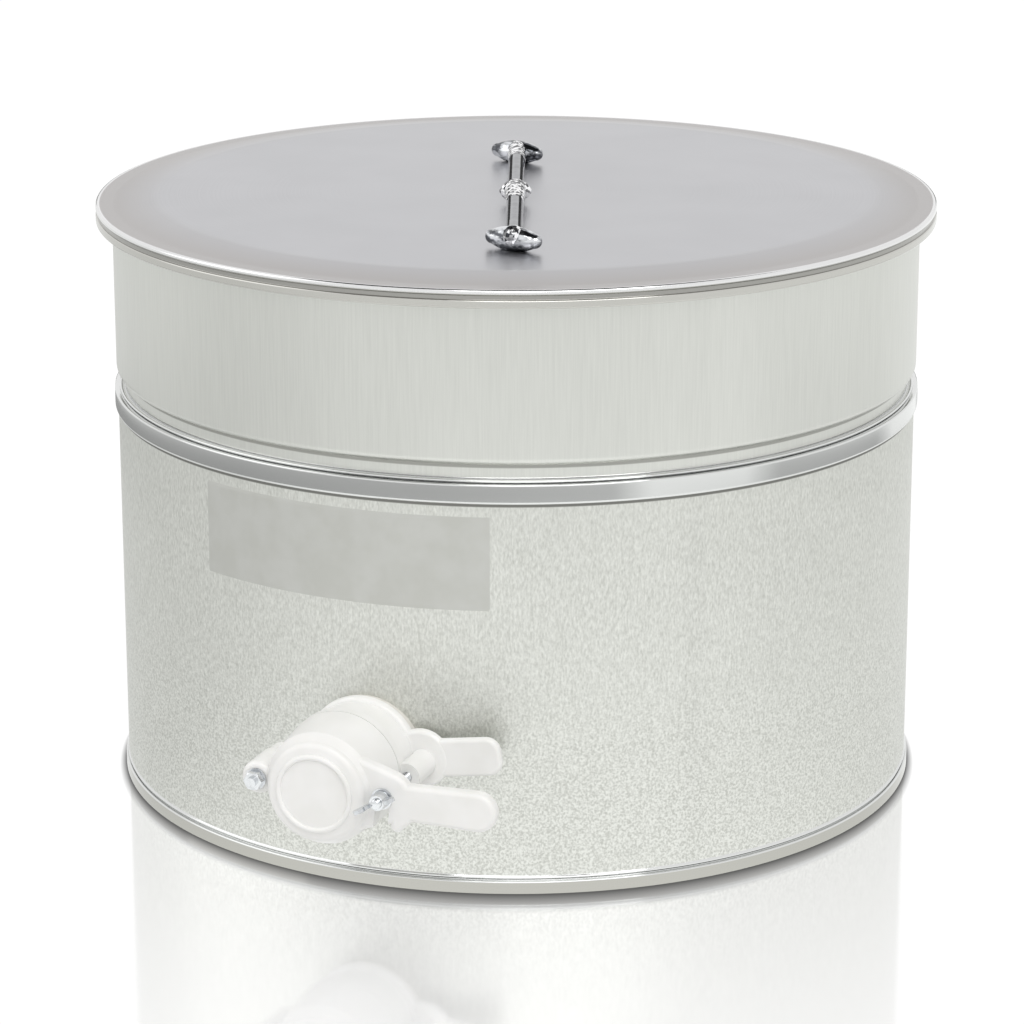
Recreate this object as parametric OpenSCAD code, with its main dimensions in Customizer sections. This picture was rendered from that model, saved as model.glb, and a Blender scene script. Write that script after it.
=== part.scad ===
// Honey settling tank: a stainless tank with a lift-out sieve ring, a loose lid
// and a two-handled plastic honey gate at its foot.
// Millimetres. The origin is on the tank's axis at the floor, +Z is up and the gate faces -Y.

/* [Tank] */
// Outer diameter of the tank wall
tank_d = 500; // [440:5:580]
// Height of the tank from the floor to the top of its rim
tank_h = 250; // [220:1:320]
// Thickness of the stainless sheet
sheet_t = 0.8; // [0.6:0.1:1]
// Height of the rolled rim of the tank
rim_h = 12; // [10:0.5:16]
// Width of the rolled rim, from its inner to its outer face
rim_w = 5.7; // [5:0.1:7]
// How far the rolled rim stands out from the wall
rim_proud = 2; // [1.5:0.1:2.5]
// Radius of the corners of the rolled rim
rim_corner = 2; // [1.6:0.1:2.2]
// Height of the folded seam that the tank stands on
seam_h = 7.7; // [6:0.1:9]
// Thickness of the folded seam outside the wall
seam_t = 1.7; // [1.4:0.1:2.2]
// Height of the tank's bottom sheet above the floor
floor_rise = 8; // [5:0.5:14]
// Radius of the stiffening bead above the seam
foot_bead_r = 1.1; // [0.8:0.1:1.4]

/* [Sieve ring] */
// How much larger the ring's radius is than the tank's
ring_step = 0.6; // [0:0.1:1.5]
// Height of the ring from its shoulder to the top of its rim
ring_h = 104; // [80:1:140]
// Height of the bare neck between the tank's rim and the ring's shoulder
neck_h = 10.4; // [8:0.1:16]
// Depth of the ring's skirt inside the tank
skirt_depth = 40; // [30:1:60]
// Radius of the bend at the ring's shoulder
shoulder_bend = 4.4; // [2:0.1:4.6]
// Width of the folded stop that rests on the tank's rim
stop_w = 3.6; // [2.8:0.1:4]
// Width of the rolled rim at the top of the ring
roll_w = 8.3; // [7:0.1:10]
// Height of the rolled rim at the top of the ring
roll_h = 8.5; // [7:0.1:10]
// Radius of the corners of the ring's rolled rim
roll_corner = 3; // [2:0.1:3.2]

/* [Sieve] */
// Width of the ledge that carries the sieve mesh
ledge_w = 8; // [6:0.5:14]
// Thickness of the sieve mesh
mesh_t = 1.2; // [0.8:0.1:2]
// Thickness of the hoop that holds the mesh down
hoop_t = 2.5; // [2:0.1:4]
// Height of the hoop
hoop_h = 8; // [6:0.5:14]
// Width of the crossed bars under the mesh
cross_w = 12; // [8:0.5:20]
// Thickness of the crossed bars
cross_t = 2; // [1.5:0.1:4]

/* [Lid] */
// How far the flat middle of the lid stands above its rim
lid_rise = 3.2; // [1.5:0.1:8]
// Width of the sloping border of the lid
lid_border_w = 25; // [15:1:40]
// Width of the flat land that rests on the ring
lid_land_w = 9; // [8:0.5:12]
// Height of the lid's edge
lid_edge_h = 10.6; // [9:0.1:13]
// Thickness of the folded hem at the bottom of the edge
hem_t = 2; // [1.6:0.1:2.4]
// Height of the folded hem
hem_h = 4.6; // [3.6:0.1:5]
// Radius of the bead at the top of the edge
lid_bead_r = 1.7; // [1.4:0.1:1.9]

/* [Lid handle] */
// Distance between the two feet of the handle
handle_span = 256; // [192:32:320]
// Direction of the handle, turned from the gate's side
handle_turn = 20; // [0:1:90]
// Distance of the handle's middle from the lid's middle, towards the gate's side
handle_shift = 44; // [0:1:48]
// Length of each foot across the handle
foot_len = 37; // [28:0.5:40]
// How far each foot is turned from square to the bar
foot_turn = 30; // [0:1:40]
// Radius of a foot at its middle
foot_r = 7.4; // [6.9:0.1:8]
// Radius of a foot at its ends
foot_end_r = 4.2; // [3.5:0.1:5]
// Height of a foot's axis above the lid
foot_axis_h = 6.6; // [5.6:0.1:7.1]
// Diameter of the handle's bar
bar_d = 10.4; // [8:0.1:11]
// Height of the bar's axis above the lid
bar_h = 8; // [7.6:0.1:11]
// Length of the ornament across the middle of the bar
ornament_len = 19.4; // [17:0.1:24]
// Radius of the ornament at its middle
ornament_r = 7.4; // [6.5:0.1:7.8]
// Diameter of the handle's screws
screw_d = 4; // [3:0.5:5]
// Diameter of the washers under the lid
screw_washer_d = 12; // [9:0.5:16]
// Thickness of those washers
screw_washer_t = 1; // [0.8:0.1:1.6]

/* [Valve body] */
// Height of the gate's axis above the floor
valve_z = 84; // [70:1:110]
// Diameter of the honey's way through the valve
bore_d = 40; // [32:0.5:42]
// Outer diameter of the inlet thread
thread_d = 47.8; // [46:0.1:50]
// Length of the inlet inside the tank
inlet_len = 22; // [18:0.5:30]
// Thickness of the outer gasket at its middle
gasket_t = 2.5; // [2:0.1:4]
// Diameter of the body's back plate
plate_d = 69.5; // [68:0.5:76]
// Thickness of the back plate
plate_t = 7; // [6:0.1:8]
// Diameter of the barrel between the back plate and the front flange
barrel_d = 65; // [60:0.5:66]
// Length of the body from the back plate's back to its front face
body_len = 34.7; // [32:0.1:40]
// Thickness of the front flange
flange_t = 6; // [4:0.1:8]
// Length of the rear handle from the clamp stud
rear_handle_len = 48; // [40:1:70]
// Width of the rear handle
rear_handle_w = 23; // [18:0.5:25]
// Upward tilt of the rear handle
rear_handle_tilt = 8.7; // [0:0.1:15]
// Radius of the back plate's ear round the clamp stud
ear_lobe_r = 17.5; // [15:0.5:20]
// Radius of the boss that holds the clamp stud
boss_r = 8; // [6.5:0.1:10]
// Length of the boss in front of the back plate
boss_len = 25; // [15:0.5:26]
// Outer size of the hexagonal lock nut across its flats
lock_nut_af = 62; // [60:0.5:70]
// Thickness of the lock nut
lock_nut_t = 10; // [7:0.5:12]
// Thickness of the inner gasket at its middle
inner_gasket_t = 5; // [4:0.1:6]

/* [Gate] */
// Distance of the pivot from the gate's axis
pivot_x = 41; // [41:0.1:48]
// Distance of the clamp stud from the gate's axis
stud_x = 39; // [39:0.1:46]
// Diameter of the gate at its back
gate_back_d = 72; // [70:0.5:74]
// Diameter of the gate at its shoulder
gate_front_d = 67; // [60:0.5:68]
// Length of the gate from its back to its front lip
gate_len = 42.2; // [38:0.1:48]
// Distance from the gate's back to the front of its handle
gate_plate_len = 33.2; // [31:0.1:34]
// Thickness of the gate's handle
gate_plate_t = 9; // [7:0.1:10]
// Diameter of the round lip on the gate's front, at its crest
lip_d = 43.8; // [40:0.1:48]
// Radius of the round lip
lip_r = 1.6; // [1.2:0.1:2]
// Depth of the front disc below the lip's crest
disc_drop = 1.5; // [1:0.1:2]
// Diameter of the gate's front face round the lip
face_d = 60; // [56:0.5:62]
// Radius of the front face's edge
face_round = 4; // [2:0.1:5]
// Diameter of the hollow at the gate's back
cup_back_d = 57; // [54:0.5:58]
// Diameter of the hollow at its bottom
cup_front_d = 50; // [46:0.5:52]
// Depth of the hollow
cup_depth = 34; // [28:0.5:35]
// Distance of the front handle's end from the gate's axis
handle_end_x = 107; // [95:1:125]
// Width of the front handle
gate_handle_w = 23.5; // [20:0.5:26]
// How far the front handle's middle lies below the gate's axis
handle_drop = 2; // [0:0.1:4]
// Radius of the gate's lug round the clamp stud
lug_r = 15.5; // [14:0.1:17]
// Radius of the pivot barrel
pivot_barrel_r = 9.75; // [8.5:0.05:11]
// Length of the pivot barrel
pivot_barrel_len = 28.2; // [24:0.1:30]
// Width of the slot for the clamp stud
slot_w = 8.6; // [7.4:0.1:10]
// Radius of the gate's round seal
seal_r = 1.3; // [1:0.1:1.4]

/* [Fasteners] */
// Diameter of the pivot bolt and of the clamp stud
bolt_d = 6; // [5:0.5:6]
// Size of the pivot bolt and its nut across their flats
bolt_af = 10; // [9:0.5:11]
// Thickness of the pivot bolt's head
bolt_head_t = 4; // [3:0.1:5]
// Thickness of the pivot nut
nut_t = 5; // [4:0.1:6]
// Diameter of the two washers
washer_d = 12.4; // [11:0.1:13]
// Thickness of the two washers
washer_t = 1.2; // [0.8:0.1:1.8]
// Length of bolt and stud that shows beyond the nuts
bolt_tail = 2.5; // [1:0.1:5]
// Diameter of the wing nut's hub
wing_hub_d = 10.4; // [9:0.1:11]
// Height of the wing nut's hub
wing_hub_h = 7.2; // [6:0.1:9]
// Distance between the tips of the wings
wing_span = 27; // [24:0.5:30]
// Turn of the wings from the level
wing_turn = 25; // [0:1:90]

/* [Hidden] */

// Facets of a large circle, a small circle and a blended shape
round_fn = 360;
small_fn = 64;
blend_fn = 32;
$fn = small_fn;

// Clearances: in a seam or seat, between pieces that lift or swing apart, and of a turning fit
seam_gap = 0.1;
seat_gap = 0.3;
turn_gap = 0.05;
// Clearance of the sieve ring in the tank, of the lid over the ring and of bolts in plain holes
plug_gap = 0.8;
lid_gap = 0.5;
hole_gap = 0.5;
// Gap between the gate and the valve body, which the seal nearly fills
face_gap = 0.6;
// How far a cut runs past the faces that it cuts
past = 1;

// Tank
tank_r = tank_d / 2;
wall_in_r = tank_r - sheet_t;
wall_foot_z = sheet_t + seam_gap;
rim_in_r = tank_r + rim_proud - rim_w;
rim_slit = 0.6;
foot_bead_z = seam_h + foot_bead_r + 0.8;

// Sieve ring
ring_r = tank_r + ring_step;
neck_r = rim_in_r - plug_gap;
shoulder_z = tank_h + neck_h;
ring_top = shoulder_z + ring_h;
skirt_z = tank_h - skirt_depth;
stop_t = 2 * sheet_t;
roll_out_r = ring_r - sheet_t + roll_w;
mesh_r = neck_r - sheet_t - seat_gap;
mesh_z = skirt_z + sheet_t;

// Lid
lid_in_r = roll_out_r + lid_gap;
lid_land_z = ring_top + seat_gap;
lid_rim_z = lid_land_z + sheet_t;
lid_top_z = lid_rim_z + lid_rise;
lid_edge_z = lid_rim_z - lid_edge_h;
lid_land_r = lid_in_r - lid_land_w;
lid_flat_r = lid_land_r - lid_border_w;

// Lid handle
bar_r = bar_d / 2;
bar_end_r = bar_r + 0.4;
flare_len = 26;
ornament_tip_r = 1.8;
screw_depth = 7;
screw_head_d = 1.9 * screw_d;
screw_head_t = 0.6 * screw_d;
screw_hole_r = screw_d / 2 + 0.2;

// Valve body, in the valve's own frame: x to the right, y up, z outwards from the tank wall
thread_r = thread_d / 2;
wall_hole_r = thread_r + hole_gap;
plate_r = plate_d / 2;
plate_back = gasket_t;
plate_front = plate_back + plate_t;
plate_edge = 2.4;
body_front = plate_back + body_len;
flange_back = body_front - flange_t;
flange_r = gate_back_d / 2;
ear_back = flange_back - 4;
ear_r = pivot_barrel_r - 1;
boss_front = plate_front + boss_len;
boss_flat = 0.75 * boss_r;
stud_root = plate_back + 4;
rear_corner_r = 8.5;
ear_shift = 1.8;
ear_step = 0.3;
inner_gasket_z = -sheet_t - inner_gasket_t;
gasket_r = plate_r - 1;
inner_gasket_r = lock_nut_af / 2 + 1;

// Gate
gate_back = body_front + face_gap;
gate_front = gate_back + gate_len;
gate_plate_front = gate_back + gate_plate_len;
gate_plate_back = gate_plate_front - gate_plate_t;
gate_edge = 3;
lip_z = gate_front - lip_r;
disc_z = gate_front - disc_drop;
face_r = face_d / 2;
shoulder_back = gate_front - 12;
shoulder_front = gate_front - 2.2 - face_round;
barrel_front = gate_back + pivot_barrel_len;
handle_r = gate_handle_w / 2;
hook_r = 3.5;
web_r = gate_front_d / 2 - 6;
seal_stand = 0.3;
seal_mid_r = (gate_back_d + cup_back_d) / 4;
groove_half = seal_r + 0.2;
groove_depth = 2 * seal_r - seal_stand + turn_gap;

// Fasteners
bolt_r = bolt_d / 2;
turn_r = bolt_r + turn_gap;
head_room_r = bolt_af / 2 / cos(30) + hole_gap;
pivot_washer_z = barrel_front + seat_gap;
pivot_nut_z = pivot_washer_z + washer_t;
pivot_end = pivot_nut_z + nut_t + bolt_tail;
clamp_washer_z = gate_plate_front + seat_gap;
wing_nut_z = clamp_washer_z + washer_t + seat_gap;
wing_lift = gate_front + seat_gap - wing_nut_z;
stud_end = wing_nut_z + wing_hub_h + bolt_tail;

// Rectangle with round corners, its lower left corner at the origin
module rounded_box(w, h, r) {
    translate([r, 0]) square([w - 2 * r, h]);
    translate([0, r]) square([w, h - 2 * r]);
    for (x = [r, w - r], y = [r, h - r]) translate([x, y]) circle(r);
}

// Sheet rolled into a hollow edge of that outline
module rolled_edge(w, h, r) {
    difference() {
        rounded_box(w, h, r);
        translate([sheet_t, sheet_t]) rounded_box(w - 2 * sheet_t, h - 2 * sheet_t, r - sheet_t);
    }
}

// Round plate with rounded edges, its back at z = 0
module pebble(r, t, edge) {
    rotate_extrude() intersection() {
        translate([-r, 0]) rounded_box(2 * r, t, edge);
        square([r, t]);
    }
}

// Places a piece in the valve's own frame
module at_valve() {
    translate([0, -tank_r, valve_z]) rotate([90, 0, 0]) children();
}

// The tank's cylinder of radius r, seen from the valve's own frame
module tank_cylinder(r) {
    translate([0, 0, -tank_r]) rotate([90, 0, 0])
        cylinder(r = r, h = 2 * plate_d, center = true, $fn = round_fn);
}

// Hexagonal prism of a size across its flats
module hexagon(af, h) {
    cylinder(d = af / cos(30), h = h, $fn = 6);
}

module tank_wall_profile() {
    translate([wall_in_r, wall_foot_z]) square([sheet_t, tank_h - rim_h + sheet_t - wall_foot_z]);
    intersection() {
        translate([tank_r, foot_bead_z]) circle(foot_bead_r);
        translate([wall_in_r, 0]) square([seam_t + sheet_t, tank_h]);
    }
    difference() {
        translate([rim_in_r, tank_h - rim_h]) rolled_edge(rim_w, rim_h, rim_corner);
        translate([wall_in_r - rim_slit, tank_h - rim_h - past]) square([rim_slit, sheet_t + past + rim_slit]);
    }
}

// Wall of the tank, with its rolled rim and the hole for the valve
module tank_wall() {
    color("gainsboro") difference() {
        rotate_extrude($fn = round_fn) tank_wall_profile();
        at_valve() translate([0, 0, -tank_r / 2]) cylinder(r = wall_hole_r, h = tank_r);
    }
}

// Bottom sheet, folded round the foot of the wall into the seam that the tank stands on
module tank_bottom() {
    fold_r = wall_in_r - seam_gap;
    out_r = tank_r + seam_gap;
    color("silver") rotate_extrude($fn = round_fn) {
        translate([0, floor_rise]) square([fold_r, sheet_t]);
        translate([fold_r - sheet_t, 0]) square([sheet_t, floor_rise + sheet_t]);
        translate([fold_r - sheet_t, 0]) square([out_r + seam_t / 2 - fold_r + sheet_t, sheet_t]);
        translate([out_r, 0]) square([seam_t, seam_h - seam_t / 2]);
        translate([out_r + seam_t / 2, seam_h - seam_t / 2]) circle(seam_t / 2);
    }
}

module sieve_ring_profile() {
    // Wall and the rolled rim, whose free edge stops short of the wall
    translate([ring_r - sheet_t, shoulder_z + shoulder_bend])
        square([sheet_t, ring_h - shoulder_bend - roll_corner]);
    difference() {
        translate([ring_r - sheet_t, ring_top - roll_h]) rolled_edge(roll_w, roll_h, roll_corner);
        translate([ring_r, ring_top - roll_h - past]) square([rim_slit, roll_corner + past]);
    }
    // Bend and shoulder
    intersection() {
        translate([ring_r - shoulder_bend, shoulder_z + shoulder_bend]) difference() {
            circle(shoulder_bend);
            circle(shoulder_bend - sheet_t);
        }
        translate([ring_r - shoulder_bend, shoulder_z]) square(shoulder_bend);
    }
    translate([neck_r - sheet_t, shoulder_z])
        square([ring_r - shoulder_bend - neck_r + sheet_t, sheet_t]);
    // Neck and skirt in one, the ledge for the mesh and the folded stop
    translate([neck_r - sheet_t, skirt_z]) square([sheet_t, shoulder_z + sheet_t - skirt_z]);
    translate([neck_r - ledge_w, skirt_z]) square([ledge_w, sheet_t]);
    translate([neck_r - sheet_t, tank_h + seat_gap]) square([stop_w + sheet_t - stop_t / 2, stop_t]);
    translate([neck_r + stop_w - stop_t / 2, tank_h + seat_gap + stop_t / 2]) circle(stop_t / 2);
}

// Ring that stands on the tank's rim and carries the sieve
module sieve_ring() {
    color("gainsboro") rotate_extrude($fn = round_fn) sieve_ring_profile();
}

// Fine woven mesh, drawn as a thin sheet
module sieve_mesh() {
    color("lightgray") translate([0, 0, mesh_z]) cylinder(r = mesh_r, h = mesh_t, $fn = round_fn);
}

// Hoop that holds the mesh down on its ledge
module sieve_hoop() {
    color("silver") rotate_extrude($fn = round_fn)
        translate([mesh_r - hoop_t, mesh_z + mesh_t]) rounded_box(hoop_t, hoop_h, hoop_t / 2 - seam_gap);
}

// Crossed bars under the ledge that keep the mesh from sagging
module sieve_cross_bars() {
    color("silver") translate([0, 0, skirt_z - cross_t]) for (turn = [45, 135])
        rotate([0, 0, turn]) translate([-mesh_r, -cross_w / 2, 0]) cube([2 * mesh_r, cross_w, cross_t]);
}

module lid_top_profile() {
    polygon([[0, lid_top_z], [lid_flat_r, lid_top_z], [lid_land_r, lid_rim_z],
             [lid_in_r + sheet_t, lid_rim_z], [lid_in_r + sheet_t, lid_land_z], [lid_land_r, lid_land_z], [lid_flat_r, lid_top_z - sheet_t],
             [0, lid_top_z - sheet_t]]);
}

module lid_edge_profile() {
    bead_mid_r = lid_in_r + hem_t - lid_bead_r;
    bead_proud = 0.2;
    translate([lid_in_r, lid_edge_z + hem_h / 2])
        square([sheet_t, lid_edge_h - hem_h / 2 - lid_bead_r]);
    // Bead round the top of the edge and folded hem round its bottom
    intersection() {
        translate([bead_mid_r, lid_rim_z + bead_proud - lid_bead_r]) circle(lid_bead_r);
        translate([lid_in_r, lid_edge_z]) square([hem_t, lid_edge_h + past]);
    }
    translate([lid_in_r, lid_edge_z]) rounded_box(hem_t, hem_h, hem_t / 2 - seam_gap);
}

// Places a piece at each foot of the lid's handle
module at_feet() {
    for (side = [-1, 1]) rotate([0, 0, handle_turn - 90])
        translate([handle_shift + side * handle_span / 2, 0, 0]) children();
}

// Spun lid with two holes for the handle's screws
module lid_panel() {
    color("lightgray") difference() {
        union() {
            rotate_extrude($fn = round_fn) lid_top_profile();
            rotate_extrude($fn = round_fn) lid_edge_profile();
        }
        at_feet() translate([0, 0, lid_top_z - sheet_t - past]) cylinder(r = screw_hole_r, h = sheet_t + 2 * past);
    }
}

// Spindle along y with ball ends, of the given length and radii
module spindle(length, mid_r, end_r) {
    core = length - 2 * end_r;
    swell = mid_r - end_r;
    arc_r = (pow(core / 2, 2) + pow(swell, 2)) / (2 * swell);
    rotate([90, 0, 0]) {
        rotate_extrude() intersection() {
            translate([mid_r - arc_r, 0]) circle(arc_r, $fn = round_fn);
            translate([0, -core / 2]) square([mid_r + past, core]);
        }
        for (side = [-1, 1]) translate([0, 0, side * core / 2]) sphere(end_r + seam_gap);
    }
}

// Turned ornament at the middle of the bar: a short spindle across it and a taper to each side
module handle_ornament() {
    taper_len = 15;
    spindle(ornament_len, ornament_r, ornament_tip_r);
    for (flip = [0, 180]) rotate([0, 0, flip]) rotate([0, 90, 0])
        cylinder(r1 = 0.92 * ornament_r, r2 = bar_r - turn_gap, h = taper_len);
}

// Bar of the handle, thickened towards both feet
module handle_bar() {
    rotate([0, 90, 0]) cylinder(r = bar_r, h = handle_span, center = true);
    for (flip = [0, 180]) rotate([0, 0, flip]) translate([handle_span / 2, 0, 0]) {
        sphere(bar_end_r);
        rotate([0, -90, 0]) cylinder(r1 = bar_end_r, r2 = bar_r - turn_gap, h = flare_len);
    }
}

// Plated handle of the lid
module lid_handle() {
    color("lightsteelblue") translate([0, 0, lid_top_z]) difference() {
        union() {
            at_feet() translate([0, 0, foot_axis_h]) rotate([0, 0, -foot_turn])
                spindle(foot_len, foot_r, foot_end_r);
            rotate([0, 0, handle_turn - 90]) translate([handle_shift, 0, bar_h]) {
                handle_bar();
                handle_ornament();
            }
        }
        translate([0, 0, -foot_r]) cylinder(r = handle_span, h = foot_r);
        at_feet() translate([0, 0, -past]) cylinder(r = screw_d / 2 + turn_gap, h = screw_depth + past);
    }
}

// Screws that hold the handle from under the lid
module lid_handle_screws() {
    head_z = lid_top_z - sheet_t - screw_washer_t;
    color("silver") at_feet() translate([0, 0, head_z]) {
        translate([0, 0, -screw_head_t]) cylinder(d = screw_head_d, h = screw_head_t);
        cylinder(d = screw_d, h = screw_washer_t + sheet_t + screw_depth - seat_gap);
    }
}

// Washers between the screws and the lid
module lid_handle_washers() {
    color("silver") at_feet() translate([0, 0, lid_top_z - sheet_t - screw_washer_t]) difference() {
        cylinder(d = screw_washer_d, h = screw_washer_t);
        translate([0, 0, -past]) cylinder(r = screw_hole_r, h = screw_washer_t + 2 * past);
    }
}

// Back plate's ear and the rear handle, tilted upwards, each a little thinner than the last
module rear_handle() {
    corner_y = rear_handle_w / 2 - rear_corner_r;
    translate([stud_x - ear_shift, ear_shift, ear_step])
        pebble(ear_lobe_r, plate_t - 2 * ear_step, plate_edge);
    translate([stud_x, ear_shift, 2 * ear_step]) rotate([0, 0, rear_handle_tilt]) hull($fn = blend_fn) {
        for (x = [0, rear_handle_len - rear_corner_r], y = [-corner_y, corner_y])
            translate([x, y, 0]) pebble(rear_corner_r, plate_t - 4 * ear_step, plate_edge);
    }
}

// Barrel of the body, flared to the front flange that the gate closes against
module body_barrel() {
    flare = 4;
    rotate_extrude() polygon([[0, plate_back + plate_edge], [barrel_d / 2, plate_back + plate_edge],
        [barrel_d / 2, flange_back - flare], [flange_r, flange_back], [flange_r, body_front], [0, body_front]]);
}

// Fixed body of the honey gate, with its inlet, back plate, rear handle and bosses
module valve_body() {
    color("white") at_valve() difference() {
        union() {
            translate([0, 0, -inlet_len]) cylinder(r = thread_r, h = inlet_len + plate_front);
            translate([0, 0, plate_back]) {
                pebble(plate_r, plate_t, plate_edge);
                rear_handle();
            }
            body_barrel();
            translate([-pivot_x, 0, ear_back]) cylinder(r = ear_r, h = body_front - ear_back);
            translate([-pivot_x, -ear_r, ear_back]) cube([pivot_x, 2 * ear_r, body_front - ear_back]);
            translate([stud_x, 0, plate_front - plate_edge]) intersection() {
                cylinder(r = boss_r, h = boss_front - plate_front + plate_edge);
                translate([-boss_r, -boss_flat, 0]) cube([2 * boss_r, boss_flat + boss_r, boss_front]);
            }
        }
        translate([0, 0, -inlet_len - past]) cylinder(d = bore_d, h = inlet_len + body_front + 2 * past);
        translate([-pivot_x, 0, plate_front]) cylinder(r = turn_r, h = body_front);
        translate([stud_x, 0, stud_root]) cylinder(r = turn_r, h = body_front);
        translate([-pivot_x, 0, ear_back - bolt_head_t - seat_gap]) cylinder(r = head_room_r, h = bolt_head_t + seat_gap);
    }
}

// Rubber saddle between the back plate and the tank's outside
module valve_outer_gasket() {
    color("dimgray") at_valve() difference() {
        translate([0, 0, -plate_t]) cylinder(r = gasket_r, h = plate_t + plate_back);
        translate([0, 0, -2 * plate_t]) cylinder(r = wall_hole_r, h = 4 * plate_t);
        tank_cylinder(tank_r + seam_gap);
    }
}

// Rubber saddle between the lock nut and the tank's inside
module valve_inner_gasket() {
    color("dimgray") at_valve() difference() {
        intersection() {
            translate([0, 0, inner_gasket_z]) cylinder(r = inner_gasket_r, h = inner_gasket_t);
            tank_cylinder(wall_in_r - seam_gap);
        }
        translate([0, 0, 2 * inner_gasket_z]) cylinder(r = wall_hole_r, h = -4 * inner_gasket_z);
    }
}

// Lock nut on the inlet thread
module valve_lock_nut() {
    color("whitesmoke") at_valve() translate([0, 0, inner_gasket_z - lock_nut_t]) difference() {
        hexagon(lock_nut_af, lock_nut_t);
        translate([0, 0, -past]) cylinder(r = thread_r + seam_gap, h = lock_nut_t + 2 * past);
    }
}

// Outline of the gate's round shell, from its back to its front lip
module gate_profile() {
    shoulder_r = gate_front_d / 2;
    difference() {
        union() {
            polygon([[0, gate_back], [gate_back_d / 2, gate_back], [shoulder_r, shoulder_back],
                     [face_r, shoulder_front], [face_r - face_round, shoulder_front + face_round],
                     [lip_d / 2, lip_z], [lip_d / 2, disc_z], [0, disc_z]]);
            translate([face_r - face_round, shoulder_front]) circle(face_round);
            translate([lip_d / 2, lip_z]) circle(lip_r);
        }
        polygon([[0, gate_back - past], [cup_back_d / 2, gate_back - past], [cup_back_d / 2, gate_back],
                 [cup_front_d / 2, gate_back + cup_depth], [0, gate_back + cup_depth]]);
    }
}

// Handle of the gate, the web and lug that join it to the shell, and the hook beside the slot
module gate_handle() {
    hook_x = stud_x + slot_w / 2 + hook_r;
    tooth_r = 2.4 * hook_r;
    hull($fn = blend_fn) {
        translate([stud_x + 2, 0, 0]) pebble(lug_r, gate_plate_t, gate_edge);
        translate([gate_edge, 0, 0]) pebble(web_r, gate_plate_t, gate_edge);
    }
    hull($fn = blend_fn) {
        translate([stud_x + handle_r, -handle_drop, 0]) pebble(handle_r - 1, gate_plate_t, gate_edge);
        translate([handle_end_x - handle_r, -handle_drop, 0]) pebble(handle_r, gate_plate_t, gate_edge);
    }
    hull($fn = blend_fn) {
        translate([hook_x - hook_r + tooth_r, -handle_drop - hook_r, 0]) pebble(tooth_r, gate_plate_t, gate_edge);
        translate([hook_x, -handle_r - 1.4 * hook_r, 0]) pebble(hook_r, gate_plate_t, gate_edge);
    }
}

// Way of the clamp stud past the gate, of width w: it opens downwards as the gate swings up about its pivot
module stud_way(w, h) {
    swing_r = pivot_x + stud_x;
    translate([stud_x, 0, 0]) cylinder(d = w, h = h);
    intersection() {
        translate([-pivot_x, 0, 0]) difference() {
            cylinder(r = swing_r + w / 2, h = h, $fn = round_fn);
            translate([0, 0, -past]) cylinder(r = swing_r - w / 2, h = h + 2 * past, $fn = round_fn);
        }
        translate([0, -swing_r / 2, -past]) cube([2 * stud_x, swing_r / 2, h + 2 * past]);
    }
}

// Swinging front of the honey gate: a hollow cup with its pivot barrel and handle
module gate() {
    color("white") at_valve() difference() {
        union() {
            difference() {
                union() {
                    translate([0, 0, gate_plate_back]) gate_handle();
                    translate([-pivot_x, 0, gate_back]) pebble(pivot_barrel_r, pivot_barrel_len, gate_edge);
                    translate([-pivot_x, -0.8 * pivot_barrel_r, gate_back])
                        cube([pivot_x - cup_back_d / 4, 1.6 * pivot_barrel_r, pivot_barrel_len - gate_edge]);
                }
                translate([0, 0, gate_back - past]) cylinder(d = cup_back_d + 2, h = gate_len);
            }
            rotate_extrude() gate_profile();
        }
        translate([-pivot_x, 0, gate_back - past]) cylinder(r = turn_r, h = gate_len);
        rotate_extrude() translate([seal_mid_r - groove_half, gate_back - past])
            square([2 * groove_half, groove_depth + past]);
        translate([0, 0, gate_plate_back - past]) stud_way(slot_w, gate_plate_t + 2 * past);
        translate([0, 0, gate_back - past]) stud_way(bolt_d + 2 * hole_gap, gate_plate_len);
    }
}

// Round seal in the gate's back
module gate_seal() {
    color("dimgray") at_valve() translate([0, 0, gate_back - seal_stand + seal_r])
        rotate_extrude() translate([seal_mid_r, 0]) circle(seal_r);
}

// Bolt that the gate swings on, its head behind the body's ear
module pivot_bolt() {
    color("lightslategray") at_valve() translate([-pivot_x, 0, ear_back - bolt_head_t]) {
        hexagon(bolt_af, bolt_head_t);
        cylinder(r = bolt_r, h = pivot_end - ear_back + bolt_head_t);
    }
}

// Washer in front of the pivot barrel
module pivot_washer() {
    color("silver") at_valve() translate([-pivot_x, 0, pivot_washer_z]) washer();
}

// Plain washer on a bolt
module washer() {
    difference() {
        cylinder(d = washer_d, h = washer_t);
        translate([0, 0, -past]) cylinder(r = turn_r, h = washer_t + 2 * past);
    }
}

// Nut that keeps the gate on its bolt
module pivot_nut() {
    color("lightslategray") at_valve() translate([-pivot_x, 0, pivot_nut_z]) difference() {
        hexagon(bolt_af, nut_t);
        translate([0, 0, -past]) cylinder(r = turn_r, h = nut_t + 2 * past);
    }
}

// Stud that stands in the body's boss and passes through the gate's slot
module clamp_stud() {
    color("lightslategray") at_valve() translate([stud_x, 0, stud_root + seam_gap])
        cylinder(r = bolt_r, h = stud_end - stud_root - seam_gap);
}

// Washer under the wing nut
module clamp_washer() {
    color("silver") at_valve() translate([stud_x, 0, clamp_washer_z]) washer();
}

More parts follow.
